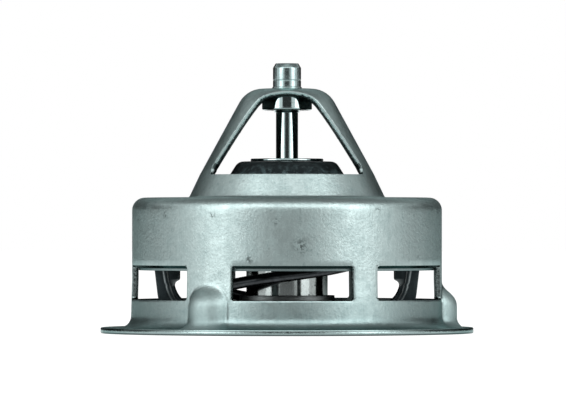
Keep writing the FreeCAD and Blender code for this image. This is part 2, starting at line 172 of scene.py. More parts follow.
class PinSizes(bpy.types.PropertyGroup):
    """Thrust pin in the yoke and the piston below it"""
    top: length("Top", "Top of the pin", 47.0)
    radius: length("Radius", "Radius of the stem above the yoke", 2.45)
    root: length("Root", "Radius of the raised ring on the yoke", 2.6)
    land: length("Land", "Radius of the land pressed into the yoke", 2.95)
    chamfer_in: length("Chamfer in", "Chamfer of the stem, inwards", 0.47)
    chamfer_down: length("Chamfer down", "Chamfer of the stem, downwards", 0.8)
    line_height: length("Line height", "Height of the turned line on the stem", 44.05)
    collar_radius: length("Collar radius", "Radius of the collar under the yoke", 4.35)
    collar_foot: length("Collar foot", "Underside of the collar", 38.8)
    nose_foot: length("Nose foot", "Lower end of the pin", 38.4)
    piston_radius: length("Piston radius", "Radius of the piston", 1.925)
    piston_foot: length("Piston foot", "Lower end of the piston", 19.0)
    piston_top: length("Piston top", "Upper end of the piston in the pin", 40.8)


class ElementSizes(bpy.types.PropertyGroup):
    """Wax element"""
    wall: length("Wall", "Wall of the wax cup", 0.7)
    radius: length("Radius", "Outer radius of the wax cup", 7.1)
    foot: length("Foot", "Underside of the wax cup", 0.8)
    foot_bend: length("Foot bend", "Bend round the foot of the cup", 1.5)
    rim_radius: length("Rim radius", "Radius of the crimped rim", 9.4)
    shelf_height: length("Shelf height", "Underside of the crimped rim", 13.8)
    rim_height: length("Rim height", "Top of the crimped rim", 17.1)
    mouth_radius: length("Mouth radius", "Inner edge of the crimped rim", 6.9)
    diaphragm_foot: length("Diaphragm foot", "Underside of the diaphragm", 14.5)
    guide_foot: length("Guide foot", "Underside of the guide sleeve's flange", 15.2)
    guide_radius: length("Guide radius", "Radius of the guide sleeve", 5.0)
    gap: length("Gap", "Gap between packed pieces", 0.02)


class BridgeSizes(bpy.types.PropertyGroup):
    """Lower bridge, folded up from one strap"""
    sheet: length("Sheet", "Thickness of the bridge", 1.0)
    foot: length("Foot", "Underside of the bridge", 2.7)
    half_width: length("Half width", "Half the width of a leg", 5.2)
    seat_radius: length("Seat radius", "Round seat of the main spring", 13.2)
    bore: length("Bore", "Radius of the plunged collar's bore", 7.3)
    collar_top: length("Collar top", "Upper edge of the plunged collar", 6.6)
    collar_bend: length("Collar bend", "Bend from the plate into the collar", 1.4)
    leg_foot: length("Leg foot", "Outer bend of a leg at the plate", 22.0)
    leg_reach: length("Leg reach", "Outer face of a leg from the axis", 23.1)
    leg_top: length("Leg top", "Height of the welded feet", 22.6)
    welded: length("Welded length", "Length of a welded foot", 4.5)
    lip_toe: length("Lip toe", "Where the lips start on the plate", 15.0)
    lip_top: length("Lip top", "Upper end of the lips", 14.0)
    lip_reach: length("Lip reach", "Depth of a lip at its shoulder", 4.4)
    shoulder: length("Shoulder", "Height at which a lip's shoulder starts", 8.7)
    bead: length("Bead", "Height of the bead on the lips", 0.22)


class SpringSizes(bpy.types.PropertyGroup):
    """Main spring"""
    wire: length("Wire radius", "Half the thickness of the wire", 1.0)
    foot_radius: length("Foot radius", "Radius of the end turn on the bridge", 11.0)
    head_radius: length("Head radius", "Radius of the end turn under the valve", 13.0)
    foot: length("Foot", "Height of the wire's centre line at the bridge", 4.75)
    head: length("Head", "Height of the wire's centre line at the valve", 22.05)
    pitch: length("Pitch", "Rise of one turn", 10.0)
    front_height: length("Front height", "Height of the strand that crosses the front", 10.05)
    dead_turn: FloatProperty(
        name="Dead turn", description="Share of a turn that lies flat at each end", default=0.75)
    easing_turn: FloatProperty(
        name="Easing", description="Share of a turn in which the climb starts", default=0.15)


class Finishes(bpy.types.PropertyGroup):
    """Colours of the finishes"""
    sheet: colour("Drawn steel", "Satin drawn sheet", (0.35, 0.43, 0.425))
    sheet_stain: colour("Stain", "Stains on the drawn sheet", (0.105, 0.175, 0.178))
    # Painted shade: the valve's sheet is darkened for the shade inside the housing
    valve: colour("Valve", "Sheet of the valve plate and its skirt", (0.19, 0.24, 0.24))
    # Painted shade: the bridge's sheet is darkened nearly to black for the shade inside the cup
    bridge: colour("Bridge", "Dark sheet of the bridge", (0.038, 0.050, 0.054))
    pin: colour("Pin", "Turned pin", (0.34, 0.44, 0.44))
    polished: colour("Polished steel", "Ground pieces", (0.44, 0.55, 0.55))
    spring: colour("Spring", "Oiled spring wire", (0.05, 0.056, 0.06))
    shell: colour("Element shell", "Plated shell of the wax element", (0.34, 0.38, 0.375))
    brass: colour("Brass", "Guide sleeve", (0.66, 0.55, 0.30))
    rubber: colour("Rubber", "Rubber on the valve", (0.008, 0.0095, 0.010))
    wax: colour("Wax", "Copper filled wax", (0.60, 0.38, 0.24))
    slip: colour("Slip plastic", "Washer under the piston", (0.85, 0.85, 0.82))


class StageSettings(bpy.types.PropertyGroup):
    """Camera, floor and lamps"""
    camera_distance: FloatProperty(
        name="Camera distance", description="From the axis of the insert to the camera",
        default=1.05, unit="LENGTH")
    camera_height: length("Camera height", "Height of the camera over the floor", 18.0)
    pixels_per_metre: FloatProperty(
        name="Scale", description="Pixels to a metre at the axis in the photograph's frame",
        default=5735.0)
    axis_pixel: FloatProperty(
        name="Axis column", description="Column of the frame on which the axis stands",
        default=287.0)
    floor_pixel: FloatProperty(
        name="Floor row", description="Row of the frame at which the axis meets the floor",
        default=333.0)
    room_light: FloatProperty(
        name="Room light", description="Strength of the light from all round", default=0.6)
    lamp_share: FloatProperty(
        name="Lamps", description="Strength of the soft boxes, 1 as they are set", default=1.0,
        subtype="FACTOR", min=0)


SETTINGS = {
    "wax_housing": HousingSizes,
    "wax_lugs": LugSizes,
    "wax_valve": ValveSizes,
    "wax_pin": PinSizes,
    "wax_element": ElementSizes,
    "wax_bridge": BridgeSizes,
    "wax_spring": SpringSizes,
    "wax_finishes": Finishes,
    "wax_stage": StageSettings,
}


# Lines and outlines

def direction(start, end):
    """Unit vector from one point to another."""
    return (Vector(end[:2]) - Vector(start[:2])).normalized()


def bent_line(corners, closed=False, edge=0.0):
    """Points of a line whose corners (u, v, bend) are rounded; plain corners get the edge."""
    points = []
    last = len(corners) - 1
    for i, corner in enumerate(corners):
        here = Vector(corner[:2])
        bend = corner[2] if len(corner) > 2 else edge
        if not bend or (not closed and i in (0, last)):
            points.append(here)
            continue
        back = direction(here, corners[i - 1])
        ahead = direction(here, corners[(i + 1) % len(corners)])
        half = back.angle(ahead) / 2
        centre = here + (back + ahead).normalized() * (bend / math.sin(half))
        turn = math.pi - 2 * half
        steps = max(2, math.ceil(turn / math.radians(9)))
        start = (here + back * (bend / math.tan(half))) - centre
        side = 1.0 if back.cross(ahead) < 0 else -1.0
        for step in range(steps + 1):
            points.append(centre + Matrix.Rotation(side * turn * step / steps, 2) @ start)
    return points


def offset_corners(corners, distance):
    """The same bent line moved sideways to its left, each bend keeping its centre."""
    moved = []
    last = len(corners) - 1
    for i, corner in enumerate(corners):
        back = direction(corners[max(i - 1, 0)], corners[max(i, 1)])
        ahead = direction(corners[min(i, last - 1)], corners[min(i + 1, last)])
        left = Vector((-back.y, back.x))
        next_left = Vector((-ahead.y, ahead.x))
        shift = (left + next_left) * (distance / (1 + left.dot(next_left)))
        bend = corner[2] if len(corner) > 2 else 0.0
        if bend:
            bend = max(bend - distance * math.copysign(1.0, back.cross(ahead)), 0.0)
        moved.append((corner[0] + shift.x, corner[1] + shift.y, bend))
    return moved


def sheet_outline(skin, thickness):
    """Closed outline of a sheet whose one skin is given and whose wall lies to its left."""
    return list(skin) + offset_corners(skin, thickness)[::-1]


def split_at(points, marks, axis=1):
    """The line with a point added wherever it crosses one of the marks, heights or radii."""
    line = [points[0]]
    for start, end in zip(points, points[1:]):
        low, high = sorted((start[axis], end[axis]))
        shares = [(mark - start[axis]) / (end[axis] - start[axis]) for mark in marks
                  if low + TINY < mark < high - TINY]
        line += [start.lerp(end, share) for share in sorted(shares)]
        line.append(end)
    return line


def split_long(points, spacing):
    """The line with its long stretches divided; spacing gives the length allowed at a point."""
    line = [points[0]]
    for start, end in zip(points, points[1:]):
        parts = max(1, math.ceil((end - start).length / spacing((start + end) / 2) - NEAR))
        line += [start.lerp(end, part / parts) for part in range(1, parts + 1)]
    return line


def point_at(points, share):
    """The point at a share of a line's length."""
    lengths = [(end - start).length for start, end in zip(points, points[1:])]
    left = share * sum(lengths)
    for start, end, size in zip(points, points[1:], lengths):
        if left <= size:
            return start.lerp(end, left / size)
        left -= size
    return points[-1].copy()


# Mesh helpers

def wire(bm, points, closed=False):
    """Edges along points in the XZ plane."""
    verts = [bm.verts.new((p[0], 0.0, p[1])) for p in points]
    pairs = list(zip(verts, verts[1:]))
    if closed:
        pairs.append((verts[-1], verts[0]))
    return verts + [bm.edges.new(pair) for pair in pairs]


def finished(bm, name, sharp=35.0):
    """Turn the bmesh into a smooth object with crisp edges."""
    mesh = bpy.data.meshes.new(name)
    bm.to_mesh(mesh)
    bm.free()
    mesh.shade_smooth()
    mesh.set_sharp_from_angle(angle=math.radians(sharp))
    piece = bpy.data.objects.new(name, mesh)
    bpy.context.scene.collection.objects.link(piece)
    return piece


def turned_mesh(corners, steps=96, edge=0.06 * MM):
    """A bmesh turned about Z from a closed outline, or from a line that ends on the axis."""
    bm = bmesh.new()
    on_axis = abs(corners[0][0]) < 1e-9 and abs(corners[-1][0]) < 1e-9
    line = split_long(bent_line(corners, closed=not on_axis, edge=edge), lambda p: 0.5 * MM)
    geom = wire(bm, line, closed=not on_axis)
    bmesh.ops.spin(bm, geom=geom, cent=(0, 0, 0), axis=UP, angle=FULL_TURN, steps=steps,
                   use_merge=True)
    bmesh.ops.remove_doubles(bm, verts=bm.verts, dist=TINY)
    bmesh.ops.recalc_face_normals(bm, faces=bm.faces)
    return bm


def spun_sectors(points, sectors, start=0.0):
    """A bmesh of a line spun about Z in sectors (angle, steps), with an edge between each two."""
    bm = bmesh.new()
    geom = wire(bm, points)
    bmesh.ops.rotate(bm, verts=bm.verts, cent=(0, 0, 0), matrix=Matrix.Rotation(start, 3, "Z"))
    for angle, steps in sectors:
        geom = bmesh.ops.spin(bm, geom=geom, cent=(0, 0, 0), axis=UP, angle=angle,
                              steps=steps)["geom_last"]
    bmesh.ops.remove_doubles(bm, verts=bm.verts, dist=NEAR)
    return bm


def delete_faces(bm, test):
    """Delete the faces whose middle passes the test."""
    gone = [face for face in bm.faces if test(face.calc_center_median())]
    bmesh.ops.delete(bm, geom=gone, context="FACES")


def way_along_rim(corner, edge, reach):
    """Vertices of an open rim from a corner out to a length, with a new one at its end."""
    path = []
    vert = corner
    left = reach
    while left > 0.1 * reach:
        step = edge.calc_length()
        if step > left + 0.1 * reach:
            path.append(bmesh.utils.edge_split(edge, vert, left / step)[1])
            return path
        vert = edge.other_vert(vert)
        path.append(vert)
        left -= step
        edge = next(e for e in vert.link_edges if e.is_boundary and e is not edge)
    return path


def fill_corners(bm, radius, test):
    """Give the square corners of openings a radius by filling them in."""
    bm.verts.ensure_lookup_table()
    corners = []
    for vert in bm.verts:
        rims = [edge for edge in vert.link_edges if edge.is_boundary]
        if len(rims) != 2 or not test(vert.co):
            continue
        first, second = [(edge.other_vert(vert).co - vert.co).normalized() for edge in rims]
        if abs(first.dot(second)) < 0.5 and sum(f.calc_area() for f in vert.link_faces) > 0:
            corners.append((vert, rims))
    for corner, rims in corners:
        one, other = [way_along_rim(corner, edge, radius) for edge in rims]
        u = one[-1].co - corner.co
        v = other[-1].co - corner.co
        arc = []
        for share in (1 / 3, 2 / 3):
            turn = share * math.pi / 2
            point = corner.co + u * (1 - math.sin(turn)) + v * (1 - math.cos(turn))
            arc.append(bm.verts.new(point))
        bm.faces.new([corner, *one, *arc, *reversed(other)])
    return len(corners)


def face_out(bm, towards):
    """Point a skin's faces outwards, judged by the face furthest towards a direction."""
    bmesh.ops.recalc_face_normals(bm, faces=bm.faces)
    bm.normal_update()
    far = max(bm.faces, key=lambda face: face.calc_center_median().dot(towards))
    if far.normal.dot(towards) < 0:
        bmesh.ops.reverse_faces(bm, faces=bm.faces)


def thicken(bm, thickness):
    """Give a skin its wall on the inside; inner vertices and cut faces are marked."""
    skin = {tuple(vert.co) for vert in bm.verts}
    inner = bm.verts.layers.int.new("inner")
    cut = bm.faces.layers.float.new("cut")
    bmesh.ops.solidify(bm, geom=bm.faces[:], thickness=thickness)
    for vert in bm.verts:
        vert[inner] = tuple(vert.co) not in skin
    deep = bm.verts.layers.float.new("deep")
    for vert in bm.verts:
        vert[deep] = float(vert[inner])
    # The inside skin is marked so that the finish can paint shade on it
    inside = bm.faces.layers.float.new("inside")
    for face in bm.faces:
        sides = {vert[inner] for vert in face.verts}
        face[cut] = 1.0 if len(sides) == 2 else 0.0
        face[inside] = 1.0 if sides == {1} else 0.0
    return inner, cut


def round_cut_edges(bm, cut, radius, test=lambda place: True):
    """Take the sharpness off the edges of the cut faces that pass the test."""
    edges = [edge for edge in bm.edges
             if len(edge.link_faces) == 2 and edge.link_faces[0][cut] != edge.link_faces[1][cut]
             and test(edge.verts[0].co)]
    bmesh.ops.bevel(bm, geom=edges, offset=radius, offset_type="OFFSET", affect="EDGES",
                    segments=2, profile=0.5, material=-1, clamp_overlap=False)


def stands_for(piece, node, body, finish):
    """Let a finished piece replace a node of the frame and ride on its body."""
    piece.data.materials.append(bpy.data.materials[finish])
    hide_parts(node)
    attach(piece, body)
    return piece


# Housing

# Longest stretch of the skin's line below the end of the draft, and above it
FOOT_STEP = 0.38 * MM
CONE_STEP = 1.1 * MM
# Share of the radius within which a vertex is moved onto the cut along the strap
SNAP_SHARE = 0.006
# Length below which an edge of that cut is dissolved
SLIVER = 0.06 * MM
# Share of the sheet by which a lug's arch is smaller on the inner skin
INNER_DRAW = 0.6
# Power that rounds off the side of a lug
SIDE_EASE = 2.4
# Painted shade on cut faces: level and upright ones round a window, and those at the root of the
# strap
LEVEL_EDGE_SHADE = 1.0
UPRIGHT_EDGE_SHADE = 0.6
ROOT_EDGE_SHADE = 0.75


def housing_skin(size):
    """Outer skin from the flange rim up the cup and the cone to the pin."""
    return [
        (size.flange_radius, size.sheet),
        (size.cup_radius + size.foot_draft, size.sheet, size.flange_bend),
        (size.cup_radius, size.draft_height),
        (size.cup_radius, size.cup_height, size.cup_corner),
        (size.throat_radius, size.cup_height, size.throat_bend),
        (size.neck_radius, size.neck_height, size.neck_bend),
        (size.yoke_shoulder, size.yoke_height, size.yoke_bend),
        (size.pin_hole, size.yoke_height),
    ]


def window_sectors(size, count):
    """Angles of the posts and windows in turn, with the steps that each is spun in."""
    wide = size.wide_post / size.cup_radius
    narrow = size.narrow_post / size.cup_radius
    window = FULL_TURN / (2 * count) - wide / 2 - narrow / 2
    return [(wide, 36), (window, 36), (narrow, 8), (window, 36)] * count


def cut_windows(bm, size, count):
    """Delete the skin inside each window."""
    wide = size.wide_post / size.cup_radius / 2
    narrow = size.narrow_post / size.cup_radius / 2
    pitch = FULL_TURN / count

    def inside(middle):
        if not size.window_foot < middle.z < size.window_top:
            return False
        angle = math.atan2(middle.y, middle.x) % pitch
        return min(angle, pitch - angle) > wide and abs(angle - pitch / 2) > narrow

    delete_faces(bm, inside)


def cut_yoke(bm, size):
    """Trim what stands above the neck to a strap."""
    side = size.strap_half_width
    for vert in bm.verts:
        radius = math.hypot(vert.co.x, vert.co.y)
        near_cut = abs(abs(vert.co.y) - side) < SNAP_SHARE * radius
        if near_cut and vert.co.z > size.neck_height - NEAR:
            vert.co.y = math.copysign(side, vert.co.y)
            vert.co.x = math.copysign(math.sqrt(max(radius ** 2 - side ** 2, 0.0)), vert.co.x)
    for way in (1, -1):
        faces = [face for face in bm.faces
                 if face.calc_center_median().z > size.neck_height
                 and way * face.calc_center_median().y > side / 3]
        edges = {edge for face in faces for edge in face.edges}
        verts = {vert for face in faces for vert in face.verts}
        bmesh.ops.bisect_plane(bm, geom=[*verts, *edges, *faces], plane_co=(0, way * side, 0),
                               plane_no=(0, way, 0), dist=NEAR)
    delete_faces(bm, lambda p: p.z > size.neck_height and abs(p.y) > side)
    cut = [edge for edge in bm.edges if edge.is_boundary
           and all(abs(abs(vert.co.y) - side) < NEAR for vert in edge.verts)]
    bmesh.ops.dissolve_degenerate(bm, dist=SLIVER, edges=cut)


def lug_line(size, lug):
    """Profile of a lug from the wall down its slope and face."""
    face = size.cup_radius + lug.reach
    return bent_line([
        (size.cup_radius, size.cup_height),
        (size.cup_radius, lug.crown, lug.crown_bend),
        (face, lug.shoulder, lug.shoulder_bend),
        (face, 0.0),
    ])


def radius_at(points, height):
    """Radius at which a falling line passes a height."""
    for above, below in zip(points, points[1:]):
        if below.y <= height <= above.y:
            return below.lerp(above, (height - below.y) / (above.y - below.y)).x
    return points[0].x


def press_lugs(bm, inner, size, lug):
    """Push the wall out into lugs, the inner skin less than the outer by the sheet."""
    pitch = FULL_TURN / lug.count
    line = lug_line(size, lug)
    stretch_and_highlight = bm.verts.layers.float.new("stretch_and_highlight")
    for vert in bm.verts:
        radius = math.hypot(vert.co.x, vert.co.y)
        if vert.co.z > size.window_top or radius > size.cup_radius + lug.reach + 2 * lug.flare:
            continue
        inset = size.sheet if vert[inner] else 0.0
        away = (math.atan2(vert.co.y, vert.co.x) + pitch / 2) % pitch - pitch / 2
        rise = max(vert.co.z + inset - size.sheet, 0.0)
        flare = lug.flare * max(0.0, 1 - rise / (lug.flare_height - size.sheet)) ** 2
        over = max(vert.co.z - lug.arch_centre, 0.0)
        depth = lug.half_width - INNER_DRAW * inset + flare - math.hypot(away * radius, over)
        share = 1 - (1 - min(max(depth / lug.wall, 0.0), 1.0)) ** SIDE_EASE
        target = radius_at(line, vert.co.z + INNER_DRAW * inset) - inset + flare
        if share and target > radius:
            moved = 1 + (target - radius) * share / radius
            vert.co.x *= moved
            vert.co.y *= moved
            # The share drives the stretched grain and also a painted highlight on the lug
            vert[stretch_and_highlight] = share


def settle_inner_skin(bm, inner, size):
    """Put the inner skin of the cone and the yoke back on its profile, one sheet inside."""
    under = bent_line(offset_corners(housing_skin(size), size.sheet))[::-1]
    for vert in bm.verts:
        if vert[inner] and vert.co.z > size.neck_height:
            vert.co.z = min(vert.co.z, size.yoke_height - size.sheet)
            if vert.co.z < size.yoke_height - 1.02 * size.sheet:
                drawn_in = radius_at(under, vert.co.z) / math.hypot(vert.co.x, vert.co.y)
                vert.co.x *= drawn_in
                vert.co.y *= drawn_in


def draft_window_tops(bm, inner, cut, size):
    """Pull down the inner edge along the top of each window, as the punch does."""
    for vert in bm.verts:
        if vert[inner] and abs(vert.co.z - size.window_top) < NEAR \
                and any(face[cut] for face in vert.link_faces):
            vert.co.z -= size.window_draft


def mark_painted_shade(bm, cut, size):
    """Paint shade on the cut faces round the windows and at the root of the strap."""
    painted_shade = bm.faces.layers.float.new("painted_shade")
    bm.normal_update()
    for face in bm.faces:
        height = face.calc_center_median().z
        if size.window_foot - MM < height < size.window_top + MM:
            face[painted_shade] = face[cut] * (LEVEL_EDGE_SHADE if abs(face.normal.z) > 0.5 else UPRIGHT_EDGE_SHADE)
        elif abs(height - size.neck_height) < 1.2 * size.strap_fillet:
            face[painted_shade] = ROOT_EDGE_SHADE * face[cut]


def make_housing(size, lug):
    """Spin the skin in sectors, cut windows and yoke, thicken it and press the lugs."""
    heights = [size.window_foot, size.window_top, size.neck_height]
    line = split_at(bent_line(housing_skin(size)), heights)
    line = split_long(line, lambda p: FOOT_STEP if p.y < size.draft_height else CONE_STEP)
    start = -size.wide_post / size.cup_radius / 2
    bm = spun_sectors(line, window_sectors(size, lug.count), start)
    cut_windows(bm, size, lug.count)
    cut_yoke(bm, size)
    fill_corners(bm, size.window_corner, lambda p: p.z < size.draft_height + size.cup_corner + MM)
    fill_corners(bm, size.strap_fillet, lambda p: abs(p.z - size.neck_height) < 1e-5)
    face_out(bm, UP)
    inner, cut = thicken(bm, size.sheet)
    settle_inner_skin(bm, inner, size)
    press_lugs(bm, inner, size, lug)
    draft_window_tops(bm, inner, cut, size)
    round_cut_edges(bm, cut, size.edge_round)
    mark_painted_shade(bm, cut, size)
    return bm


# Valve

# Longest stretch of the plate's line, and the rounding of its sheared foot
WEB_STEP = 1.6 * MM
VALVE_EDGE = 0.12 * MM


def rubber_skin(valve):
    """Top of the rubber from the hub over the dome to the brim."""
    return [
        (valve.hub_radius, valve.top),
        (valve.dome_top, valve.top, valve.dome_top_bend),
        (valve.dome_foot, valve.brim_height, valve.dome_foot_bend),
        (valve.seal_top, valve.brim_height),
    ]


def rubber_outline(valve):
    """Closed outline of the rubber, its edge cut parallel to the seat."""
    skin = rubber_skin(valve)
    under = offset_corners(skin, -valve.rubber)
    under[-1] = (valve.seal_foot, valve.brim_height - valve.rubber)
    return skin + under[::-1]


def make_valve_plate(valve):
    """Valve plate with dome, step, web with ports and the sliding skirt."""
    dome = offset_corners(rubber_skin(valve), -valve.rubber)[:-1]
    skin = dome + [
        (valve.step_radius, valve.brim_height - valve.rubber, valve.step_bend),
        (valve.step_radius, valve.web_height, valve.web_bend),
        (valve.skirt_radius, valve.web_height, valve.skirt_corner),
        (valve.skirt_radius, valve.skirt_foot),
    ]
    radii = (valve.port_inner, valve.port_outer)
    line = split_long(split_at(bent_line(skin), radii, axis=0), lambda p: WEB_STEP)
    pitch = FULL_TURN / valve.ports
    sectors = [(valve.port_angle, 20), (pitch - valve.port_angle, 12)] * valve.ports
    bm = spun_sectors(line, sectors, -valve.port_angle / 2)

    def inside(middle):
        angle = math.atan2(middle.y, middle.x) % pitch
        in_ring = radii[0] < math.hypot(middle.x, middle.y) < radii[1]
        return (in_ring and min(angle, pitch - angle) < valve.port_angle / 2
                and abs(middle.z - valve.web_height) < valve.plate / 2)

    delete_faces(bm, inside)
    fill_corners(bm, valve.port_corner, lambda p: abs(p.z - valve.web_height) < valve.plate / 2)
    face_out(bm, UP)
    _, cut = thicken(bm, valve.plate)
    round_cut_edges(bm, cut, VALVE_EDGE, lambda p: p.z < valve.web_height - valve.skirt_corner)
    return bm


def ring_outline(valve):
    """Closed outline of the bright ring."""
    edge = 0.22 * MM
    return [
        (valve.hub_radius, valve.top),
        (valve.ring_radius, valve.top, edge),
        (valve.ring_radius, valve.top + valve.ring, edge),
        (valve.hub_radius, valve.top + valve.ring),
    ]


# Pin and piston

# Nose below the collar, and the collar's edges
NOSE_TIP = 2.1 * MM
NOSE_ROOT = 2.3 * MM
COLLAR_BEND = 0.35 * MM
COLLAR_CHAMFER = 0.3 * MM
BURR = 0.08 * MM
# Heights over the yoke at which the raised ring's edge and the stem start
ROOT_RISE = 0.2 * MM
STEM_RISE = 0.3 * MM
# Gap between pieces that are pressed together
PRESS_GAP = 0.01 * MM


def pin_outline(pin, underside, yoke_top):
    """Half outline of the thrust pin with its collar and socket."""
    socket = pin.piston_radius + PRESS_GAP
    line = pin.line_height
    score = 0.05 * MM
    return [
        (0, pin.piston_top),
        (socket, pin.piston_top),
        (socket, pin.nose_foot),
        (NOSE_TIP, pin.nose_foot),
        (NOSE_ROOT, pin.collar_foot),
        (pin.collar_radius, pin.collar_foot, COLLAR_BEND),
        (pin.collar_radius, underside - COLLAR_CHAMFER, BURR),
        (pin.collar_radius - COLLAR_CHAMFER, underside, BURR),
        (pin.land, underside),
        (pin.land, yoke_top),
        (pin.root, yoke_top, 0.05 * MM),
        (pin.root, yoke_top + ROOT_RISE, 0.1 * MM),
        (pin.radius, yoke_top + STEM_RISE, 0.05 * MM),
        (pin.radius, line - 2 * score),
        (pin.radius - score, line - score),
        (pin.radius - score, line + score),
        (pin.radius, line + 2 * score),
        (pin.radius, pin.top - pin.chamfer_down, 0.25 * MM),
        (pin.radius - pin.chamfer_in, pin.top, 0.1 * MM),
        (0, pin.top),
    ]


def piston_outline(pin):
    """Half outline of the piston."""
    edge = 0.2 * MM
    return [
        (0, pin.piston_foot),
        (pin.piston_radius - edge, pin.piston_foot),
        (pin.piston_radius, pin.piston_foot + edge),
        (pin.piston_radius, pin.piston_top - edge),
        (pin.piston_radius - edge, pin.piston_top),
        (0, pin.piston_top),
    ]


# Wax element

# Funnel at the foot of the sleeve, and the seal at its mouth
FUNNEL_RADIUS = 4.6 * MM
FUNNEL_DEPTH = 1.2 * MM
SEAL_RADIUS = 2.85 * MM
SEAL_LENGTH = 1.2 * MM
SEAL_COVER = 0.45 * MM
# Slip washer, edges of what is stacked under the crimp, and the gap round the piston
SLIP_THICKNESS = 0.4 * MM
STACK_EDGE = 0.35 * MM
RUNNING_GAP = 0.035 * MM


def wax_cup_outline(element):
    """Half outline of the deep cup with its shelf and crimped rim."""
    bend = 1.0 * MM
    return sheet_outline([
        (0, element.foot),
        (element.radius, element.foot, element.foot_bend),
        (element.radius, element.shelf_height, 0.3 * MM),
        (element.rim_radius, element.shelf_height, bend),
        (element.rim_radius, element.rim_height, bend),
        (element.mouth_radius, element.rim_height),
    ], element.wall)


def guide_outline(element, pin, valve):
    """Closed outline of the sleeve that runs on the piston and carries the valve."""
    bore = pin.piston_radius + RUNNING_GAP
    packed = element.rim_radius - element.wall - element.gap
    lip = element.rim_height - element.wall
    hub_foot = valve.top - valve.rubber - valve.plate
    hub = valve.hub_radius - PRESS_GAP
    top = valve.top + valve.ring
    seal_top = top - SEAL_COVER
    seal_foot = seal_top - SEAL_LENGTH
    groove = SEAL_RADIUS
    return [
        (FUNNEL_RADIUS, element.guide_foot),
        (packed, element.guide_foot),
        (packed, lip, STACK_EDGE),
        (element.guide_radius, lip, 0.5 * MM),
        (element.guide_radius, hub_foot),
        (hub, hub_foot),
        (hub, top),
        (bore, top),
        (bore, seal_top),
        (groove, seal_top),
        (groove, seal_foot),
        (bore, seal_foot),
        (bore, element.guide_foot + FUNNEL_DEPTH),
    ]


def packed_outlines(element, pin, valve):
    """Outlines of what is packed inside the element: node, outline, body, finish and slot."""
    gap = element.gap
    rod = pin.piston_radius
    wax_radius = element.radius - element.wall - gap
    crown = element.guide_foot + FUNNEL_DEPTH - gap
    plug_foot = crown + 2 * gap
    slip_foot = pin.piston_foot - SLIP_THICKNESS
    plug_top = slip_foot - gap
    seal_top = valve.top + valve.ring - SEAL_COVER - gap
    seal_foot = seal_top - SEAL_LENGTH + 2 * gap
    edge = 0.25 * MM
    return {
        "wax_charge": ([
            (0, element.foot + element.wall + gap),
            (wax_radius, element.foot + element.wall + gap, element.foot_bend - element.wall),
            (wax_radius, element.diaphragm_foot - gap),
            (0, element.diaphragm_foot - gap),
        ], "valve", WAX_FINISH, "wax"),
        "diaphragm": ([
            (0, element.diaphragm_foot),
            (element.rim_radius - element.wall - gap, element.diaphragm_foot, STACK_EDGE),
            (element.rim_radius - element.wall - gap, element.guide_foot),
            (FUNNEL_RADIUS - gap, element.guide_foot),
            (rod, crown),
            (0, crown),
        ], "valve", INNER_RUBBER_FINISH, "inner_rubber"),
        "piston_seal": ([
            (rod + gap, seal_foot, edge),
            (SEAL_RADIUS - gap, seal_foot, edge),
            (SEAL_RADIUS - gap, seal_top, edge),
            (rod + gap, seal_top, edge),
        ], "valve", INNER_RUBBER_FINISH, "inner_rubber"),
        "rubber_plug": ([
            (0, plug_foot),
            (rod, plug_foot),
            (rod, plug_top),
            (0, plug_top),
        ], "frame", INNER_RUBBER_FINISH, "inner_rubber"),
        "anti_extrusion_washer": ([
            (0, slip_foot),
            (rod, slip_foot),
            (rod, pin.piston_foot - gap / 2),
            (0, pin.piston_foot - gap / 2),
        ], "frame", SLIP_FINISH, "slip_plastic"),
    }


# Lower bridge

# Outer skin of a leg: bend at its foot, height and bend of the knee, bend into the welded foot
LEG_FOOT_BEND = 4.5 * MM
KNEE_HEIGHT = 12.0 * MM
KNEE_BEND = 20.0 * MM
LEG_TOP_BEND = 2.0 * MM
# Inner edge of a lip: depth from the leg's outer face, height and bend at the heel and waist
LIP_HEEL = (4.1 * MM, 6.3 * MM, 4.0 * MM)
LIP_WAIST = (3.3 * MM, 8.7 * MM, 0.8 * MM)
# Height and bend at which the lip's shoulder ends, and the slope and bend at its top
LIP_SHOULDER = (9.3 * MM, 0.35 * MM)
LIP_SLOPE = 1.5 * MM
LIP_TOP_BEND = 1.0 * MM
# Heights between which rows crowd at the shoulder, on the skin and on the lip's edge
CROWDED_SKIN = (8.9 * MM, 9.5 * MM)
CROWDED_EDGE = (8.75 * MM, 9.5 * MM)
ROW_COUNTS = (22, 5, 14)
# Rows across a lip: distance from its edge in millimetres, share of the bead's height, share of
# painted highlight
BEAD_ROWS = ((1.5, 0, 0), (1.3, 0.8, 0.7), (1.1, 1, 0), (0.85, 1, 0), (0.65, 0.8, 0.7),
             (0.45, 0, 0), (0, 0, 0))
# Width in millimetres that the bead needs, and the share of a narrower lip that it keeps off
BEAD_ROOM = 3
BEAD_CLEAR = 0.35
BEAD_LEAN = 0.2
# Heights round the shoulder between which the lip's edge gets a painted highlight
SHOULDER_HIGHLIGHT = (-0.3 * MM, 0.7 * MM)
# Depth under the collar's top that gets a painted highlight
COLLAR_HIGHLIGHT = 1.3 * MM
# Longest stretches of the plate's and the leg's line, and the rounding of folds and edges
PLATE_STEP = 1.2 * MM
LEG_STEP = 1.5 * MM
FOLD_ROUND = 0.5 * MM
BRIDGE_EDGE = 0.1 * MM


def leg_line(bridge):
    """Outer skin of a leg from the toe of its lips up to the welded foot."""
    return bent_line([
        (bridge.lip_toe, bridge.foot),
        (bridge.leg_foot, bridge.foot, LEG_FOOT_BEND),
        (bridge.leg_reach, KNEE_HEIGHT, KNEE_BEND),
        (bridge.leg_reach, bridge.leg_top, LEG_TOP_BEND),
        (bridge.leg_reach - bridge.welded, bridge.leg_top),
    ])


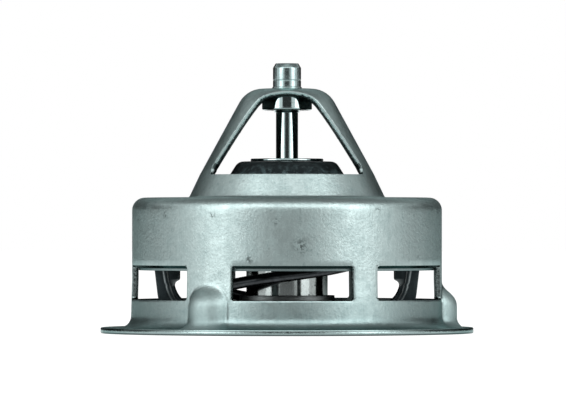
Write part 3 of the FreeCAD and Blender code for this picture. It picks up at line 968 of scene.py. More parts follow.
def lip_line(bridge):
    """Inner edge of a lip from its toe up to its top."""
    inner = bridge.leg_reach - bridge.lip_reach
    return bent_line([
        (bridge.lip_toe, bridge.foot + bridge.sheet),
        (bridge.leg_reach - LIP_HEEL[0], *LIP_HEEL[1:]),
        (bridge.leg_reach - LIP_WAIST[0], *LIP_WAIST[1:]),
        (inner, *LIP_SHOULDER),
        (inner, bridge.lip_top - LIP_SLOPE, LIP_TOP_BEND),
        (bridge.leg_reach - bridge.sheet, bridge.lip_top),
    ])


def part_of_line(points, low, high, count):
    """Points at even steps along a line between two heights."""
    cut = [p for p in split_at(points, [low, high]) if low - TINY <= p.y <= high + TINY]
    return [point_at(cut, step / count) for step in range(count + 1)]


def lipped_rows(bridge):
    """Matching points on a leg's skin and on the inner edge of its lips."""
    skin = leg_line(bridge)
    edge = lip_line(bridge)
    skin_marks = (bridge.foot, *CROWDED_SKIN, bridge.lip_top)
    edge_marks = (bridge.foot + bridge.sheet, *CROWDED_EDGE, bridge.lip_top)
    pairs = []
    for part, count in enumerate(ROW_COUNTS):
        rows = list(zip(part_of_line(skin, *skin_marks[part:part + 2], count),
                        part_of_line(edge, *edge_marks[part:part + 2], count)))
        pairs += rows if not pairs else rows[1:]
    return pairs


def extruded_rim(bm, edges):
    """Extrude open edges; returns the new edges and their vertices."""
    made = bmesh.ops.extrude_edge_only(bm, edges=edges)["geom"]
    verts = [item for item in made if isinstance(item, bmesh.types.BMVert)]
    ends = set(verts)
    rims = [item for item in made
            if isinstance(item, bmesh.types.BMEdge) and set(item.verts) <= ends]
    return rims, verts


def fold_lip(bm, bridge, column, pairs):
    """Fold a lip in along one edge of a leg, with a bead that follows its inner edge and painted
    highlights on the bead's flanks and at the shoulder.
    """
    way = math.copysign(1.0, column[0].co.x)
    side = math.copysign(1.0, column[0].co.y)
    chain = [next(edge for edge in low.link_edges if edge.other_vert(low) is high)
             for low, high in zip(column, column[1:])]
    inward = [(edge - skin) for skin, edge in pairs]
    painted_highlight = bm.verts.layers.float["painted_highlight"]
    for from_edge, raised, highlight_share in BEAD_ROWS:
        places = {tuple(vert.co): row for row, vert in enumerate(column)}
        chain, verts = extruded_rim(bm, chain)
        column = sorted(verts, key=lambda vert: places[tuple(vert.co)])
        for vert, (skin, _), across in zip(column, pairs, inward):
            width = across.length
            line = bridge.leg_reach - LIP_WAIST[0] + BEAD_LEAN * (skin.y - bridge.shoulder)
            back = max(line - (skin + across).x, 0.0) if skin.y > bridge.shoulder else 0.0
            reach = max(1 - (from_edge * MM + back) / width,
                        BEAD_CLEAR * (BEAD_ROOM - from_edge) / BEAD_ROOM)
            point = skin + across * (reach if from_edge else 1.0)
            fade = min(max((bridge.lip_top - MM - point.y) / MM, 0.0), 1.0)
            fade *= min(width / (BEAD_ROOM * MM), 1.0)
            vert.co = (way * point.x, side * (bridge.half_width + raised * fade * bridge.bead),
                       point.y)
            vert[painted_highlight] = highlight_share * fade
            above = point.y - bridge.shoulder
            if not from_edge and SHOULDER_HIGHLIGHT[0] < above < SHOULDER_HIGHLIGHT[1]:
                vert[painted_highlight] = 1.0


def make_bridge(bridge):
    """Plate with a plunged collar and two lipped legs, drawn as one folded sheet."""
    lean = math.asin(bridge.half_width / bridge.seat_radius)
    hub = bent_line([
        (bridge.bore, bridge.collar_top),
        (bridge.bore, bridge.foot, bridge.collar_bend),
        (bridge.seat_radius, bridge.foot),
    ])
    sectors = [(2 * lean, 10), (math.pi - 2 * lean, 36)] * 2
    bm = spun_sectors(split_long(hub, lambda p: PLATE_STEP), sectors, -lean)
    # Painted highlight on the upper part of the collar
    painted_highlight = bm.verts.layers.float.new("painted_highlight")
    for vert in bm.verts:
        vert[painted_highlight] = 0.7 if vert.co.z > bridge.collar_top - COLLAR_HIGHLIGHT else 0.0
    pairs = lipped_rows(bridge)
    upper = [p for p in split_at(leg_line(bridge), [bridge.lip_top])
             if p.y > bridge.lip_top + TINY]
    rows = [skin for skin, _ in pairs] + split_long(upper, lambda p: LEG_STEP)
    for way in (1, -1):
        rim = [edge for edge in bm.edges if edge.is_boundary and all(
            way * vert.co.x > bridge.seat_radius * math.cos(lean) - NEAR for vert in edge.verts)]
        columns = {1: [], -1: []}
        for row in rows:
            rim, verts = extruded_rim(bm, rim)
            for vert in verts:
                vert.co = (way * row.x, vert.co.y, row.y)
            columns[1].append(max(verts, key=lambda vert: vert.co.y))
            columns[-1].append(min(verts, key=lambda vert: vert.co.y))
        for column in columns.values():
            fold_lip(bm, bridge, column[:len(pairs)], pairs)
            folds = [edge for low, high in zip(column, column[1:len(pairs)])
                     for edge in low.link_edges if edge.other_vert(low) is high]
            bmesh.ops.bevel(bm, geom=folds, offset=FOLD_ROUND, offset_type="OFFSET",
                            affect="EDGES", segments=3, profile=0.5, material=-1,
                            clamp_overlap=True)
    face_out(bm, -UP)
    _, cut = thicken(bm, bridge.sheet)
    round_cut_edges(bm, cut, BRIDGE_EDGE)
    return bm


# Main spring

STEPS_PER_TURN = 56
WIRE_SIDES = 20
# Share of a turn at which the wire crosses the front
FRONT_TURN = -0.25


def spring_frames(spring):
    """Places along the wire, each a matrix: a flat turn at each end and a widening climb."""
    climb = spring.head - spring.foot
    active = climb / spring.pitch
    front = (spring.front_height - spring.foot) / spring.pitch
    first = FRONT_TURN - front - spring.dead_turn
    total = active + 2 * spring.dead_turn
    ease = spring.easing_turn

    def eased(turn):
        low = min(max(turn + ease, 0.0), 2 * ease)
        high = min(max(turn - active + ease, 0.0), 2 * ease)
        straight = min(max(turn - ease, 0.0), active - 2 * ease)
        return ((low ** 2 - high ** 2) / (4 * ease) + high + straight) / active

    def point(turn):
        share = eased(turn - spring.dead_turn)
        radius = spring.foot_radius + (spring.head_radius - spring.foot_radius) * share
        angle = FULL_TURN * (first + turn)
        return Vector((radius * math.cos(angle), radius * math.sin(angle),
                       spring.foot + climb * share))

    count = round(total * STEPS_PER_TURN)
    frames = []
    for step in range(count + 1):
        turn = total * step / count
        middle = point(turn)
        along = (point(turn + 1e-4) - point(turn - 1e-4)).normalized()
        outward = Vector((middle.x, middle.y, 0)).normalized()
        outward = (outward - along * outward.dot(along)).normalized()
        place = Matrix((outward, along.cross(outward), along)).transposed().to_4x4()
        place.translation = middle
        frames.append(place)
    return frames


def make_spring(spring):
    """Sweep a ring along the wire and close its ends."""
    frames = spring_frames(spring)
    bm = bmesh.new()
    ring = bmesh.ops.create_circle(bm, cap_ends=True, radius=spring.wire,
                                   segments=WIRE_SIDES)["verts"]
    bmesh.ops.transform(bm, matrix=frames[0], verts=ring)
    rim = list(bm.edges)
    for before, after in zip(frames, frames[1:]):
        rim, verts = extruded_rim(bm, rim)
        bmesh.ops.transform(bm, matrix=after @ before.inverted(), verts=verts)
    bmesh.ops.contextual_create(bm, geom=rim)
    bmesh.ops.recalc_face_normals(bm, faces=bm.faces)
    return bm


# Shader building blocks

def put(tree, kind, inputs=(), **settings):
    """Add a node with its settings, and feed its inputs with values or other sockets."""
    node = tree.nodes.new(kind)
    for name, value in settings.items():
        setattr(node, name, value)
    for name, value in dict(inputs).items():
        if isinstance(value, bpy.types.NodeSocket):
            tree.links.new(value, node.inputs[name])
        else:
            node.inputs[name].default_value = value
    return node


def group_tree(name, inputs, outputs):
    """A shader node group with named number inputs and outputs; returns it with both ends."""
    tree = bpy.data.node_groups.new(name, "ShaderNodeTree")
    for label, value in inputs.items():
        socket = tree.interface.new_socket(label, in_out="INPUT", socket_type="NodeSocketFloat")
        socket.default_value = value
    for label in outputs:
        tree.interface.new_socket(label, in_out="OUTPUT", socket_type="NodeSocketFloat")
    return tree, tree.nodes.new("NodeGroupInput"), tree.nodes.new("NodeGroupOutput")


def object_place(tree):
    """Object coordinates."""
    return put(tree, "ShaderNodeTexCoord").outputs["Object"]


def combined(tree, operation, one, other):
    """Two numbers put together by a math node."""
    return put(tree, "ShaderNodeMath", {0: one, 1: other}, operation=operation).outputs[0]


def height_in_mm(tree):
    """Height over the floor in millimetres."""
    parts = put(tree, "ShaderNodeSeparateXYZ", {0: object_place(tree)})
    return weighed(tree, parts.outputs["Z"], 1000.0)


def scaled(tone, share):
    """A colour times a share, with no channel over 1."""
    return tuple(min(1.0, channel * share) for channel in tone)


def unrolled(tree):
    """Place across the axis, and height less radius, which runs up a wall and off a flange."""
    place = object_place(tree)
    flat = put(tree, "ShaderNodeVectorMath", {0: place, 1: (1, 1, 0)}, operation="MULTIPLY")
    reach = put(tree, "ShaderNodeVectorMath", {0: flat.outputs[0]}, operation="LENGTH")
    parts = put(tree, "ShaderNodeSeparateXYZ", {0: place})
    return flat.outputs[0], combined(tree, "SUBTRACT", parts.outputs["Z"],
                                     reach.outputs["Value"])


def build_draw_lines():
    """Fine lines that run up the wall and out over the flange, as the punch leaves them."""
    tree, given, out = group_tree("draw lines", {"Round": 900.0, "Along": 60.0}, ["Lines"])
    flat, run = unrolled(tree)
    round_it = put(tree, "ShaderNodeVectorMath", {0: flat}, operation="NORMALIZE")
    spread = put(tree, "ShaderNodeVectorMath",
                 {0: round_it.outputs[0], "Scale": given.outputs["Round"]}, operation="SCALE")
    rise = combined(tree, "MULTIPLY", run, given.outputs["Along"])
    lift = put(tree, "ShaderNodeCombineXYZ", {"Z": rise})
    where = put(tree, "ShaderNodeVectorMath", {0: spread.outputs[0], 1: lift.outputs[0]},
                operation="ADD")
    noise = put(tree, "ShaderNodeTexNoise",
                {"Vector": where.outputs[0], "Scale": 1.0, "Detail": 4.0, "Roughness": 0.6})
    tree.links.new(noise.outputs["Fac"], out.inputs["Lines"])
    return tree


def build_turned_lines():
    """Rings that a lathe leaves round a turned piece."""
    tree, given, out = group_tree("turned lines", {"Per metre": 9000.0}, ["Lines"])
    _, run = unrolled(tree)
    count = combined(tree, "MULTIPLY", run, given.outputs["Per metre"])
    noise = put(tree, "ShaderNodeTexNoise",
                {"W": count, "Scale": 1.0, "Detail": 2.0}, noise_dimensions="1D")
    tree.links.new(noise.outputs["Fac"], out.inputs["Lines"])
    return tree


def build_blotches():
    """Soft edged blotches, such as stains and worn places."""
    tree, given, out = group_tree(
        "blotches", {"Size": 300.0, "Start": 0.55, "End": 0.7, "Twist": 0.6}, ["Mask"])
    noise = put(tree, "ShaderNodeTexNoise",
                {"Vector": object_place(tree), "Scale": given.outputs["Size"], "Detail": 5.0,
                 "Roughness": 0.62, "Distortion": given.outputs["Twist"]})
    mask = put(tree, "ShaderNodeMapRange",
               {"Value": noise.outputs["Fac"], "From Min": given.outputs["Start"],
                "From Max": given.outputs["End"]}, interpolation_type="SMOOTHSTEP")
    tree.links.new(mask.outputs["Result"], out.inputs["Mask"])
    return tree


def build_grain():
    """Fine even grain of a blasted, plated or moulded surface."""
    tree, given, out = group_tree("grain", {"Size": 6000.0}, ["Height"])
    noise = put(tree, "ShaderNodeTexNoise",
                {"Vector": object_place(tree), "Scale": given.outputs["Size"], "Detail": 2.0,
                 "Roughness": 0.5})
    tree.links.new(noise.outputs["Fac"], out.inputs["Height"])
    return tree


def build_bruise():
    """A patch round one point of a piece, soft at its edge."""
    tree, given, out = group_tree(
        "bruise", {"X": 0.0, "Y": 0.0, "Z": 0.0, "Radius": 0.001}, ["Mask"])
    point = put(tree, "ShaderNodeCombineXYZ",
                {axis: given.outputs[axis] for axis in ("X", "Y", "Z")})
    away = put(tree, "ShaderNodeVectorMath", {0: object_place(tree), 1: point.outputs[0]},
               operation="DISTANCE")
    mask = put(tree, "ShaderNodeMapRange",
               {"Value": away.outputs["Value"], "From Min": given.outputs["Radius"],
                "From Max": 0.0}, interpolation_type="SMOOTHSTEP")
    tree.links.new(mask.outputs["Result"], out.inputs["Mask"])
    return tree


def placed(tree, group, output, **inputs):
    """Place a group in a material and return one of its outputs."""
    values = {name.replace("_", " "): value for name, value in inputs.items()}
    node = put(tree, "ShaderNodeGroup", node_tree=bpy.data.node_groups[group])
    for name, value in values.items():
        node.inputs[name].default_value = value
    return node.outputs[output]


def blended(tree, mask, one, other):
    """Mix two colours by a mask."""
    values = [value if isinstance(value, bpy.types.NodeSocket) else (*value, 1)
              for value in (one, other)]
    node = put(tree, "ShaderNodeMix", {"Factor": mask}, data_type="RGBA")
    for socket, value in zip([s for s in node.inputs if s.type == "RGBA"], values):
        if isinstance(value, tuple):
            socket.default_value = value
        else:
            tree.links.new(value, socket)
    return next(s for s in node.outputs if s.type == "RGBA")


def ranged(tree, value, low, high, start=0.0, end=1.0):
    """Spread a value that runs from start to end between two numbers."""
    return put(tree, "ShaderNodeMapRange",
               {"Value": value, "From Min": start, "From Max": end,
                "To Min": low, "To Max": high}).outputs["Result"]


def weighed(tree, value, weight, rest=0.0):
    """A value times a weight, added to the rest."""
    return put(tree, "ShaderNodeMath", {0: value, 1: weight, 2: rest},
               operation="MULTIPLY_ADD").outputs[0]


def layered(tree, tone, layers):
    """Lay colours over a tone in turn, each by its mask and weight."""
    for mask, weight, paint in layers:
        tone = blended(tree, weighed(tree, mask, weight), tone, paint)
    return tone


def finish(name, metallic, roughness):
    """A new material; returns its tree and its shader."""
    material = bpy.data.materials.new(name)
    material.use_nodes = True
    shader = material.node_tree.nodes["Principled BSDF"]
    shader.inputs["Metallic"].default_value = metallic
    shader.inputs["Roughness"].default_value = roughness
    return material.node_tree, shader


def bumped(tree, shader, height, depth, strength=1.0):
    """Feed a height to the shader's normal."""
    bump = put(tree, "ShaderNodeBump",
               {"Height": height, "Strength": strength, "Distance": depth})
    tree.links.new(bump.outputs["Normal"], shader.inputs["Normal"])


def shade(tree, shader, base, roughness=None):
    """Feed the shader's colour and, if it varies, its roughness."""
    tree.links.new(base, shader.inputs["Base Color"])
    if roughness is not None:
        tree.links.new(roughness, shader.inputs["Roughness"])


# Finishes

# Colour of the painted highlights on the bridge
PAINTED_HIGHLIGHT_TONE = (0.5, 0.55, 0.55)
# Colours of the rubber's bloom and dust patches, which also stand for a painted sheen
BLOOM_AND_SHEEN_TONE = (0.075, 0.115, 0.12)
DUST_AND_SHEEN_TONE = (0.14, 0.19, 0.195)
# Bruises that the press left on the cup's wall: x, z and radius in millimetres
BRUISES = [(2.3, 15.3, 2.2), (-1.9, 19.4, 0.9), (-20.9, 20.6, 1.0), (-12.7, 20.5, 0.9),
           (-6.5, 12.9, 1.2), (15.5, 21.3, 0.9), (-14.2, 3.9, 1.1)]
WALL_RADIUS = 27.0


def sheet_steel(name, base, stain, rough):
    """Satin drawn sheet: draw lines, mottling, stains and sheared edges, with painted shade on its
    inside, its lower part and some cut faces, and painted highlights on lugs and bridge.
    """
    tree, shader = finish(name, 1.0, rough)
    shader.inputs["Specular Tint"].default_value = (*scaled(base, 1.35), 1)
    marks = {label: put(tree, "ShaderNodeAttribute", attribute_name=label).outputs["Fac"]
             for label in ("cut", "deep", "painted_shade", "inside", "painted_highlight", "stretch_and_highlight")}
    lines, streaks, scratches = [
        placed(tree, "draw lines", "Lines", Round=across, Along=along)
        for across, along in ((420.0, 900.0), (70.0, 60.0), (260.0, 40.0))]
    stains, clouds, specks, flecks, pits = [
        placed(tree, "blotches", "Mask", Size=size, Start=start, End=end, Twist=twist)
        for size, start, end, twist in (
            (210.0, 0.56, 0.74, 0.8), (380.0, 0.3, 0.75, 0.5), (1300.0, 0.58, 0.7, 0.3),
            (1500.0, 0.5, 0.68, 0.8), (1700.0, 0.44, 0.56, 0.6))]
    grain = placed(tree, "grain", "Height", Size=2200.0)
    peel = placed(tree, "grain", "Height", Size=900.0)
    rise = height_in_mm(tree)
    light, bright = scaled(base, 1.3), scaled(base, 1.7)
    dark_marks_and_shade, black = scaled(base, 0.12), scaled(base, 0.03)
    tone = layered(tree, base, (
        (clouds, 0.4, stain), (stains, 0.5, stain), (specks, 0.6, stain),
        (flecks, 0.45, light), (streaks, 0.7, light)))
    for x, z, radius in BRUISES:
        place = {"X": x * MM, "Y": -math.sqrt(WALL_RADIUS ** 2 - x ** 2) * MM, "Z": z * MM}
        patch = placed(tree, "bruise", "Mask", Radius=radius * MM, **place)
        tone = layered(tree, tone, ((combined(tree, "MULTIPLY", patch, pits), 0.8, dark_marks_and_shade),))
    # Painted highlight: the pressed lugs are lightened by how far they are pushed out
    tone = layered(tree, tone, (
        (marks["stretch_and_highlight"], 0.8, light), (marks["cut"], 0.8, bright)))
    # Painted shade: darker the lower a point lies, from 9 mm down to 1.3 mm, into the bend onto the
    # flange
    tone = blended(tree, ranged(tree, rise, 0.0, 0.5, 9.0, 1.3), tone, stain)
    # Painted shade: a dark band on the cut faces between about 0.7 and 0.9 mm up, on the flange's
    # rim; it is joined to the darker deep side of each cut face, which is its fracture zone
    shade_band = put(tree, "ShaderNodeValToRGB", {"Fac": rise})
    ramp = shade_band.color_ramp
    ramp.elements[0].position, ramp.elements[0].color = 0.68, (0, 0, 0, 1)
    ramp.elements[1].position, ramp.elements[1].color = 0.9, (0, 0, 0, 1)
    for place in (0.74, 0.84):
        ramp.elements.new(place).color = (1, 1, 1, 1)
    fracture_and_shade = combined(tree, "MAXIMUM", ranged(tree, marks["deep"], 0.0, 1.0, 0.62, 0.8),
                        shade_band.outputs["Color"])
    fracture_and_shade = combined(tree, "MULTIPLY", fracture_and_shade, marks["cut"])
    # Darken the cut faces' fracture side and painted shade band, paint shade on the marked cut
    # faces round the windows and at the strap's root and on the inside skin, and paint highlights
    # on the bridge's marked places
    tone = layered(tree, tone, (
        (fracture_and_shade, 0.85, dark_marks_and_shade), (marks["painted_shade"], 1.0, black), (marks["inside"], 0.8, dark_marks_and_shade),
        (marks["painted_highlight"], 0.5, PAINTED_HIGHLIGHT_TONE)))
    height = weighed(tree, lines, 0.3, weighed(tree, grain, 0.95))
    peel = combined(tree, "MULTIPLY", peel, marks["stretch_and_highlight"])
    height = weighed(tree, peel, 2.2, weighed(tree, scratches, 0.2, height))
    spread = ranged(tree, clouds, rough - 0.09, rough + 0.02)
    spread = weighed(tree, marks["stretch_and_highlight"], 0.2, weighed(tree, marks["cut"], -0.17, spread))
    shade(tree, shader, tone, weighed(tree, lines, 0.1, spread))
    bumped(tree, shader, height, 0.035 * MM)


def turned_steel(name, base, rough, depth):
    """Turned or ground metal with rings round it."""
    tree, shader = finish(name, 1.0, rough)
    lines = placed(tree, "turned lines", "Lines", Per_metre=14000.0)
    haze = placed(tree, "blotches", "Mask", Size=500.0, Start=0.45, End=0.75, Twist=0.4)
    dull = scaled(base, 0.8)
    shade(tree, shader, blended(tree, haze, base, dull), ranged(tree, haze, rough, rough + 0.08))
    bumped(tree, shader, lines, depth)


def element_shell(name, base, rough):
    """Plated cup with streaks along it, haze and small pits."""
    tree, shader = finish(name, 1.0, rough)
    shader.inputs["Specular Tint"].default_value = (*scaled(base, 0.9), 1)
    streaks = placed(tree, "draw lines", "Lines", Round=24.0, Along=160.0)
    specks = placed(tree, "blotches", "Mask", Size=2400.0, Start=0.5, End=0.7, Twist=0.2)
    pits = placed(tree, "blotches", "Mask", Size=1150.0, Start=0.64, End=0.68, Twist=0.2)
    dull, black = scaled(base, 0.55), scaled(base, 0.1)
    tone = layered(tree, base, (
        (specks, 0.35, dull), (streaks, 0.5, dull), (pits, 0.85, black)))
    shade(tree, shader, tone, ranged(tree, specks, rough, rough + 0.12))
    bumped(tree, shader, weighed(tree, pits, -0.8, streaks), 0.006 * MM)


def spring_wire(name, base, rough):
    """Oiled dark wire with lengthwise drawing marks and small nicks."""
    tree, shader = finish(name, 1.0, rough)
    haze = placed(tree, "blotches", "Mask", Size=900.0, Start=0.4, End=0.8, Twist=1.0)
    grain = placed(tree, "grain", "Height", Size=5000.0)
    light = scaled(base, 1.8)
    shade(tree, shader, blended(tree, haze, base, light),
          ranged(tree, grain, rough - 0.08, rough + 0.1))
    bumped(tree, shader, grain, 0.008 * MM)


def rubber(name, base, rough):
    """Moulded rubber with dull bloom and painted sheen in patches, paler towards the foot of the
    dome.
    """
    tree, shader = finish(name, 0.0, rough)
    shader.inputs["Specular IOR Level"].default_value = 0.25
    shader.inputs["Specular Tint"].default_value = (0.6, 0.92, 1.0, 1)
    bloom_and_sheen = placed(tree, "blotches", "Mask", Size=300.0, Start=0.46, End=0.66, Twist=1.6)
    dust_and_sheen = placed(tree, "blotches", "Mask", Size=1500.0, Start=0.5, End=0.66, Twist=0.6)
    grain = placed(tree, "grain", "Height", Size=4500.0)
    # Painted sheen: the pale patches grow stronger towards the foot of the dome
    low = ranged(tree, height_in_mm(tree), 0.12, 1.0, 29.2, 26.6)
    tone = blended(tree, combined(tree, "MULTIPLY", bloom_and_sheen, low), base, BLOOM_AND_SHEEN_TONE)
    dusty_sheen = weighed(tree, combined(tree, "MULTIPLY", dust_and_sheen, low), 0.6)
    shade(tree, shader, blended(tree, dusty_sheen, tone, DUST_AND_SHEEN_TONE),
          ranged(tree, bloom_and_sheen, rough - 0.08, rough + 0.12))
    bumped(tree, shader, grain, 0.012 * MM)


def packed_material(name, base, rough, size, metallic=0.0):
    """Soft solid with an uneven tone: wax with its copper powder, or plastic."""
    tree, shader = finish(name, metallic, rough)
    patches = placed(tree, "blotches", "Mask", Size=size, Start=0.45, End=0.65, Twist=0.3)
    grain = placed(tree, "grain", "Height", Size=2500.0)
    dark = scaled(base, 0.7)
    shade(tree, shader, blended(tree, patches, base, dark),
          ranged(tree, grain, rough - 0.05, rough + 0.1))
    bumped(tree, shader, grain, 0.01 * MM)


# Stage: name, azimuth and elevation in degrees, distance, size, then power or tone

BOXES = [
    ("left box", -50, 18, 1.0, (0.5, 1.2), 4.6),
    ("right box", 52, 18, 1.0, (0.5, 1.2), 4.5),
    ("front top box", 0, 36, 1.2, (1.2, 0.45), 3.0),
]
CARDS = [
    ("front card", 0, -4, 1.3, (1.0, 0.76), 0.04),
    ("left back card", -150, -4, 0.8, (0.95, 1.0), 0.02),
    ("right back card", 150, -4, 0.8, (0.95, 1.0), 0.02),
    ("left side card", -110, 0, 0.9, (0.65, 0.8), 0.2),
    ("right side card", 110, 0, 0.9, (0.65, 0.8), 0.2),
    ("high back card", 180, 40, 1.1, (2.6, 0.55), 0.8),
    ("top card", 180, 80, 0.7, (1.8, 1.0), 0.24),
    ("lying card", 0, 0, 0.268, (0.4, 0.464), 0.6),
    ("far lying card", 0, 0, 0.89, (0.7, 0.78), 0.04),
]
LYING_CARDS = ("lying card", "far lying card")
# Height that lamps and upright cards face, and the levels of the lying cards and the floor
AIM_HEIGHT = 0.02
LYING_LEVEL = -0.01 * MM
FLOOR_LEVEL = -0.02 * MM


def aimed(thing, azimuth, elevation, distance, height):
    """Put a lamp or card round the insert, facing it."""
    a, e = math.radians(azimuth), math.radians(elevation)
    away = Vector((math.sin(a) * math.cos(e), -math.cos(a) * math.cos(e), math.sin(e)))
    target = Vector((0, 0, height))
    thing.location = target + away * distance
    thing.rotation_euler = (-away).to_track_quat("-Z", "Y").to_euler()
    bpy.context.scene.collection.objects.link(thing)
    return thing


def soft_box(name, azimuth, elevation, distance, size, power):
    """A large rectangular lamp."""
    data = bpy.data.lights.new(name, "AREA")
    data.shape = "RECTANGLE"
    data.size, data.size_y = size
    data.energy = power
    return aimed(bpy.data.objects.new(name, data), azimuth, elevation, distance, AIM_HEIGHT)


def grey_card(name, azimuth, elevation, distance, size, tone, lying=False):
    """A card, upright or lying, that darkens what the metal reflects; the camera misses it."""
    bm = bmesh.new()
    bmesh.ops.create_grid(bm, x_segments=1, y_segments=1, size=0.5)
    bmesh.ops.scale(bm, vec=(size[0], size[1], 1), verts=bm.verts)
    card = finished(bm, name)
    bpy.context.scene.collection.objects.unlink(card)
    _, shader = finish(name, 0.0, 1.0)
    shader.inputs["Base Color"].default_value = (0, 0, 0, 1)
    shader.inputs["Emission Color"].default_value = (tone, tone, tone, 1)
    shader.inputs["Emission Strength"].default_value = 1.0
    card.data.materials.append(bpy.data.materials[name])
    aimed(card, azimuth, elevation, distance, LYING_LEVEL if lying else AIM_HEIGHT)
    if lying:
        card.rotation_euler = (0, 0, 0)
    card.visible_camera = False
    card.visible_shadow = False
    card.visible_diffuse = False
    return card


def white_where_seen(tree, plain):
    """White for the camera, in gloss and through glass; the plain shader for all else."""
    rays = put(tree, "ShaderNodeLightPath")
    seen = combined(tree, "MAXIMUM", rays.outputs["Is Camera Ray"],
                    rays.outputs["Is Glossy Ray"])
    seen = combined(tree, "MAXIMUM", seen, rays.outputs["Is Transmission Ray"])
    return put(tree, "ShaderNodeMixShader", {0: seen, 1: plain})


def build_world(stage):
    """White room."""
    world = bpy.data.worlds.new("white room")
    bpy.context.scene.world = world
    world.use_nodes = True
    tree = world.node_tree
    plain = tree.nodes["Background"]
    plain.inputs["Color"].default_value = (1, 1, 1, 1)
    plain.inputs["Strength"].default_value = stage.room_light
    white = put(tree, "ShaderNodeBackground", {"Color": (1, 1, 1, 1), "Strength": 1.0})
    mix = white_where_seen(tree, plain.outputs[0])
    tree.links.new(white.outputs[0], mix.inputs[2])
    tree.links.new(mix.outputs[0], tree.nodes["World Output"].inputs["Surface"])


def build_floor():
    """Paper floor: white where it is seen, with the insert's faint shadow; clear from below."""
    bm = bmesh.new()
    bmesh.ops.create_grid(bm, x_segments=1, y_segments=1, size=4.0)
    bmesh.ops.translate(bm, vec=(0, 0, FLOOR_LEVEL), verts=bm.verts)
    floor = finished(bm, "floor")
    tree, shader = finish("white paper", 0.0, 0.9)
    shader.inputs["Base Color"].default_value = (0.8, 0.8, 0.8, 1)
    glow = put(tree, "ShaderNodeEmission", {"Color": (1, 1, 1, 1), "Strength": 0.9})
    matt = put(tree, "ShaderNodeBsdfDiffuse", {"Color": (0.28, 0.28, 0.28, 1)})
    paper = put(tree, "ShaderNodeAddShader", {0: matt.outputs[0], 1: glow.outputs[0]})
    mix = white_where_seen(tree, shader.outputs[0])
    tree.links.new(paper.outputs[0], mix.inputs[2])
    below = put(tree, "ShaderNodeNewGeometry").outputs["Backfacing"]
    clear = put(tree, "ShaderNodeBsdfTransparent")
    sided = put(tree, "ShaderNodeMixShader", {0: below, 1: mix.outputs[0], 2: clear.outputs[0]})
    tree.links.new(sided.outputs[0], tree.nodes["Material Output"].inputs["Surface"])
    floor.data.materials.append(bpy.data.materials["white paper"])


def build_camera(stage):
    """Level camera whose frame is the photograph's."""
    data = bpy.data.cameras.new("camera")
    camera = bpy.data.objects.new("camera", data)
    bpy.context.scene.collection.objects.link(camera)
    wide, high = PHOTO_SIZE
    scale = stage.pixels_per_metre
    data.sensor_fit = "HORIZONTAL"
    data.sensor_width = 36.0
    data.lens = data.sensor_width * scale * stage.camera_distance / wide
    camera.location = (0, -stage.camera_distance, stage.camera_height)
    camera.rotation_euler = (math.pi / 2, 0, 0)
    data.shift_x = (wide / 2 - stage.axis_pixel) / wide
    data.shift_y = (stage.floor_pixel - high / 2 - stage.camera_height * scale) / wide
    bpy.context.scene.camera = camera


# Panel entries, one operator for each piece or group of pieces

class WAXINSERT_OT_finishes(bpy.types.Operator):
    """Build the shader groups and the finish of every piece"""
    bl_idname = "wax_insert.finishes"
    bl_label = "Finishes"

    def execute(self, context):
        tones = context.scene.wax_finishes
        build_draw_lines()
        build_turned_lines()
        build_blotches()
        build_grain()
        build_bruise()
        sheet_steel(SHEET_FINISH, tones.sheet, tones.sheet_stain, 0.36)
        # Painted shade: the valve plate gets a darker copy of the drawn steel
        sheet_steel(VALVE_FINISH, tones.valve, tones.sheet_stain, 0.34)
        # Painted shade: the bridge gets the drawn steel made nearly black
        sheet_steel(BRIDGE_FINISH, tones.bridge, scaled(tones.bridge, 0.5), 0.38)
        turned_steel(PIN_FINISH, tones.pin, 0.15, 0.006 * MM)
        turned_steel(COLLAR_FINISH, tones.polished, 0.06, 0.002 * MM)
        turned_steel(BRASS_FINISH, tones.brass, 0.28, 0.008 * MM)
        element_shell(SHELL_FINISH, tones.shell, 0.09)
        spring_wire(SPRING_FINISH, tones.spring, 0.3)
        rubber(RUBBER_FINISH, tones.rubber, 0.36)
        rubber(INNER_RUBBER_FINISH, tones.rubber, 0.55)
        packed_material(WAX_FINISH, tones.wax, 0.6, 900.0)
        packed_material(SLIP_FINISH, tones.slip, 0.45, 1500.0)
        return {"FINISHED"}


class WAXINSERT_OT_housing(bpy.types.Operator):
    """Draw the housing: flange, cup with windows and lugs, cone and yoke"""
    bl_idname = "wax_insert.housing"
    bl_label = "Housing"

    def execute(self, context):
        scene = context.scene
        piece = finished(make_housing(scene.wax_housing, scene.wax_lugs), "drawn_housing")
        stands_for(piece, "housing", "frame", SHEET_FINISH)
        return {"FINISHED"}


class WAXINSERT_OT_pin(bpy.types.Operator):
    """Turn the thrust pin and its piston"""
    bl_idname = "wax_insert.pin"
    bl_label = "Thrust Pin and Piston"

    def execute(self, context):
        scene = context.scene
        housing = scene.wax_housing
        outline = pin_outline(scene.wax_pin, housing.yoke_height - housing.sheet,
                              housing.yoke_height)
        pin = finished(turned_mesh(outline, 72), "turned_pin")
        stands_for(pin, "thrust_pin", "frame", PIN_FINISH)
        pin.data.materials.append(bpy.data.materials[COLLAR_FINISH])
        for face in pin.data.polygons:
            if face.center.z < housing.yoke_height - housing.sheet + NEAR:
                face.material_index = 1
        piston = finished(turned_mesh(piston_outline(scene.wax_pin), 64), "ground_piston")
        stands_for(piston, "piston", "frame", COLLAR_FINISH)
        return {"FINISHED"}


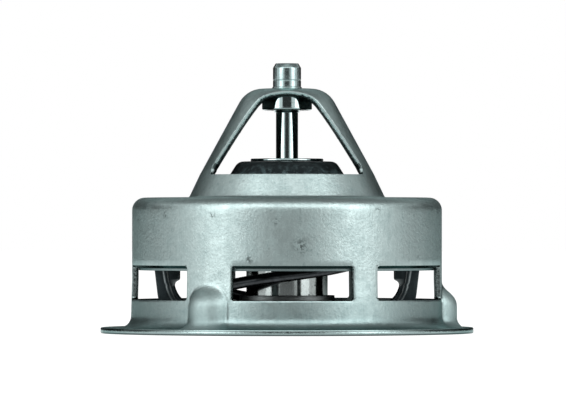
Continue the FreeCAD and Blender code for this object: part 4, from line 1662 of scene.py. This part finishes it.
class WAXINSERT_OT_valve(bpy.types.Operator):
    """Draw the valve plate with its skirt, and lay on the rubber and the ring"""
    bl_idname = "wax_insert.valve"
    bl_label = "Valve"

    def execute(self, context):
        valve = context.scene.wax_valve
        plate = finished(make_valve_plate(valve), "valve_plate")
        stands_for(plate, "slide_valve", "valve", VALVE_FINISH)
        cover = finished(turned_mesh(rubber_outline(valve), 128), "dome_rubber")
        stands_for(cover, "valve_rubber", "valve", RUBBER_FINISH)
        ring = finished(turned_mesh(ring_outline(valve), 96), "bright_ring")
        stands_for(ring, "retaining_washer", "valve", COLLAR_FINISH)
        return {"FINISHED"}


class WAXINSERT_OT_element(bpy.types.Operator):
    """Draw the wax cup and its guide sleeve, and pack what is inside"""
    bl_idname = "wax_insert.element"
    bl_label = "Wax Element"

    def execute(self, context):
        scene = context.scene
        element, pin, valve = scene.wax_element, scene.wax_pin, scene.wax_valve
        cup = finished(turned_mesh(wax_cup_outline(element), 96), "element_cup")
        stands_for(cup, "wax_cup", "valve", SHELL_FINISH)
        guide = finished(turned_mesh(guide_outline(element, pin, valve), 72), "element_guide")
        stands_for(guide, "guide_sleeve", "valve", BRASS_FINISH)
        for node, (outline, body, finish_name, slot) in packed_outlines(
                element, pin, valve).items():
            piece = finished(turned_mesh(outline, 48), f"packed_{node}")
            stands_for(piece, node, body, finish_name)
        return {"FINISHED"}


class WAXINSERT_OT_bridge(bpy.types.Operator):
    """Fold the lower bridge with its collar, legs and lips"""
    bl_idname = "wax_insert.bridge"
    bl_label = "Lower Bridge"

    def execute(self, context):
        piece = finished(make_bridge(context.scene.wax_bridge), "folded_bridge")
        stands_for(piece, "lower_bridge", "frame", BRIDGE_FINISH)
        return {"FINISHED"}


class WAXINSERT_OT_spring(bpy.types.Operator):
    """Wind the main spring as it stands at rest; the real spring shortens as the valve opens"""
    bl_idname = "wax_insert.spring"
    bl_label = "Main Spring"

    def execute(self, context):
        spring = context.scene.wax_spring
        piece = finished(make_spring(spring), "wound_spring", 50.0)
        stands_for(piece, "main_spring", "frame", SPRING_FINISH)
        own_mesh(piece)
        return {"FINISHED"}


class WAXINSERT_OT_stage(bpy.types.Operator):
    """Set up the floor, the soft boxes, the cards and the camera"""
    bl_idname = "wax_insert.stage"
    bl_label = "Stage"

    def execute(self, context):
        scene = context.scene
        scene.view_settings.view_transform = "Standard"
        stage = scene.wax_stage
        build_world(stage)
        build_floor()
        for name, azimuth, elevation, distance, size, power in BOXES:
            soft_box(name, azimuth, elevation, distance, size, power * stage.lamp_share)
        for name, azimuth, elevation, distance, size, tone in CARDS:
            grey_card(name, azimuth, elevation, distance, size, tone, name in LYING_CARDS)
        build_camera(stage)
        return {"FINISHED"}


STEPS = ["wax_insert.finishes", "wax_insert.housing", "wax_insert.pin", "wax_insert.valve",
         "wax_insert.element", "wax_insert.bridge", "wax_insert.spring", "wax_insert.stage"]


class WAXINSERT_PT_panel(bpy.types.Panel):
    """The pieces of the insert"""
    bl_label = "Wax Insert"
    bl_idname = "WAXINSERT_PT_panel"
    bl_space_type = "VIEW_3D"
    bl_region_type = "UI"
    bl_category = "Wax Insert"

    def draw(self, context):
        for step in STEPS:
            self.layout.operator(step)


CLASSES = [*SETTINGS.values(), WAXINSERT_OT_finishes, WAXINSERT_OT_housing, WAXINSERT_OT_pin,
           WAXINSERT_OT_valve, WAXINSERT_OT_element, WAXINSERT_OT_bridge, WAXINSERT_OT_spring,
           WAXINSERT_OT_stage, WAXINSERT_PT_panel]


def register():
    """Register the classes and give the scene its settings."""
    for cls in CLASSES:
        bpy.utils.register_class(cls)
    for name, group in SETTINGS.items():
        setattr(bpy.types.Scene, name, PointerProperty(type=group))


def unregister():
    """Take the settings and the classes away again."""
    for name in SETTINGS:
        delattr(bpy.types.Scene, name)
    for cls in reversed(CLASSES):
        bpy.utils.unregister_class(cls)


def main():
    """Register, then build every piece in turn."""
    register()
    for step in STEPS:
        family, name = step.split(".")
        getattr(getattr(bpy.ops, family), name)()


if __name__ == "__main__":
    main()
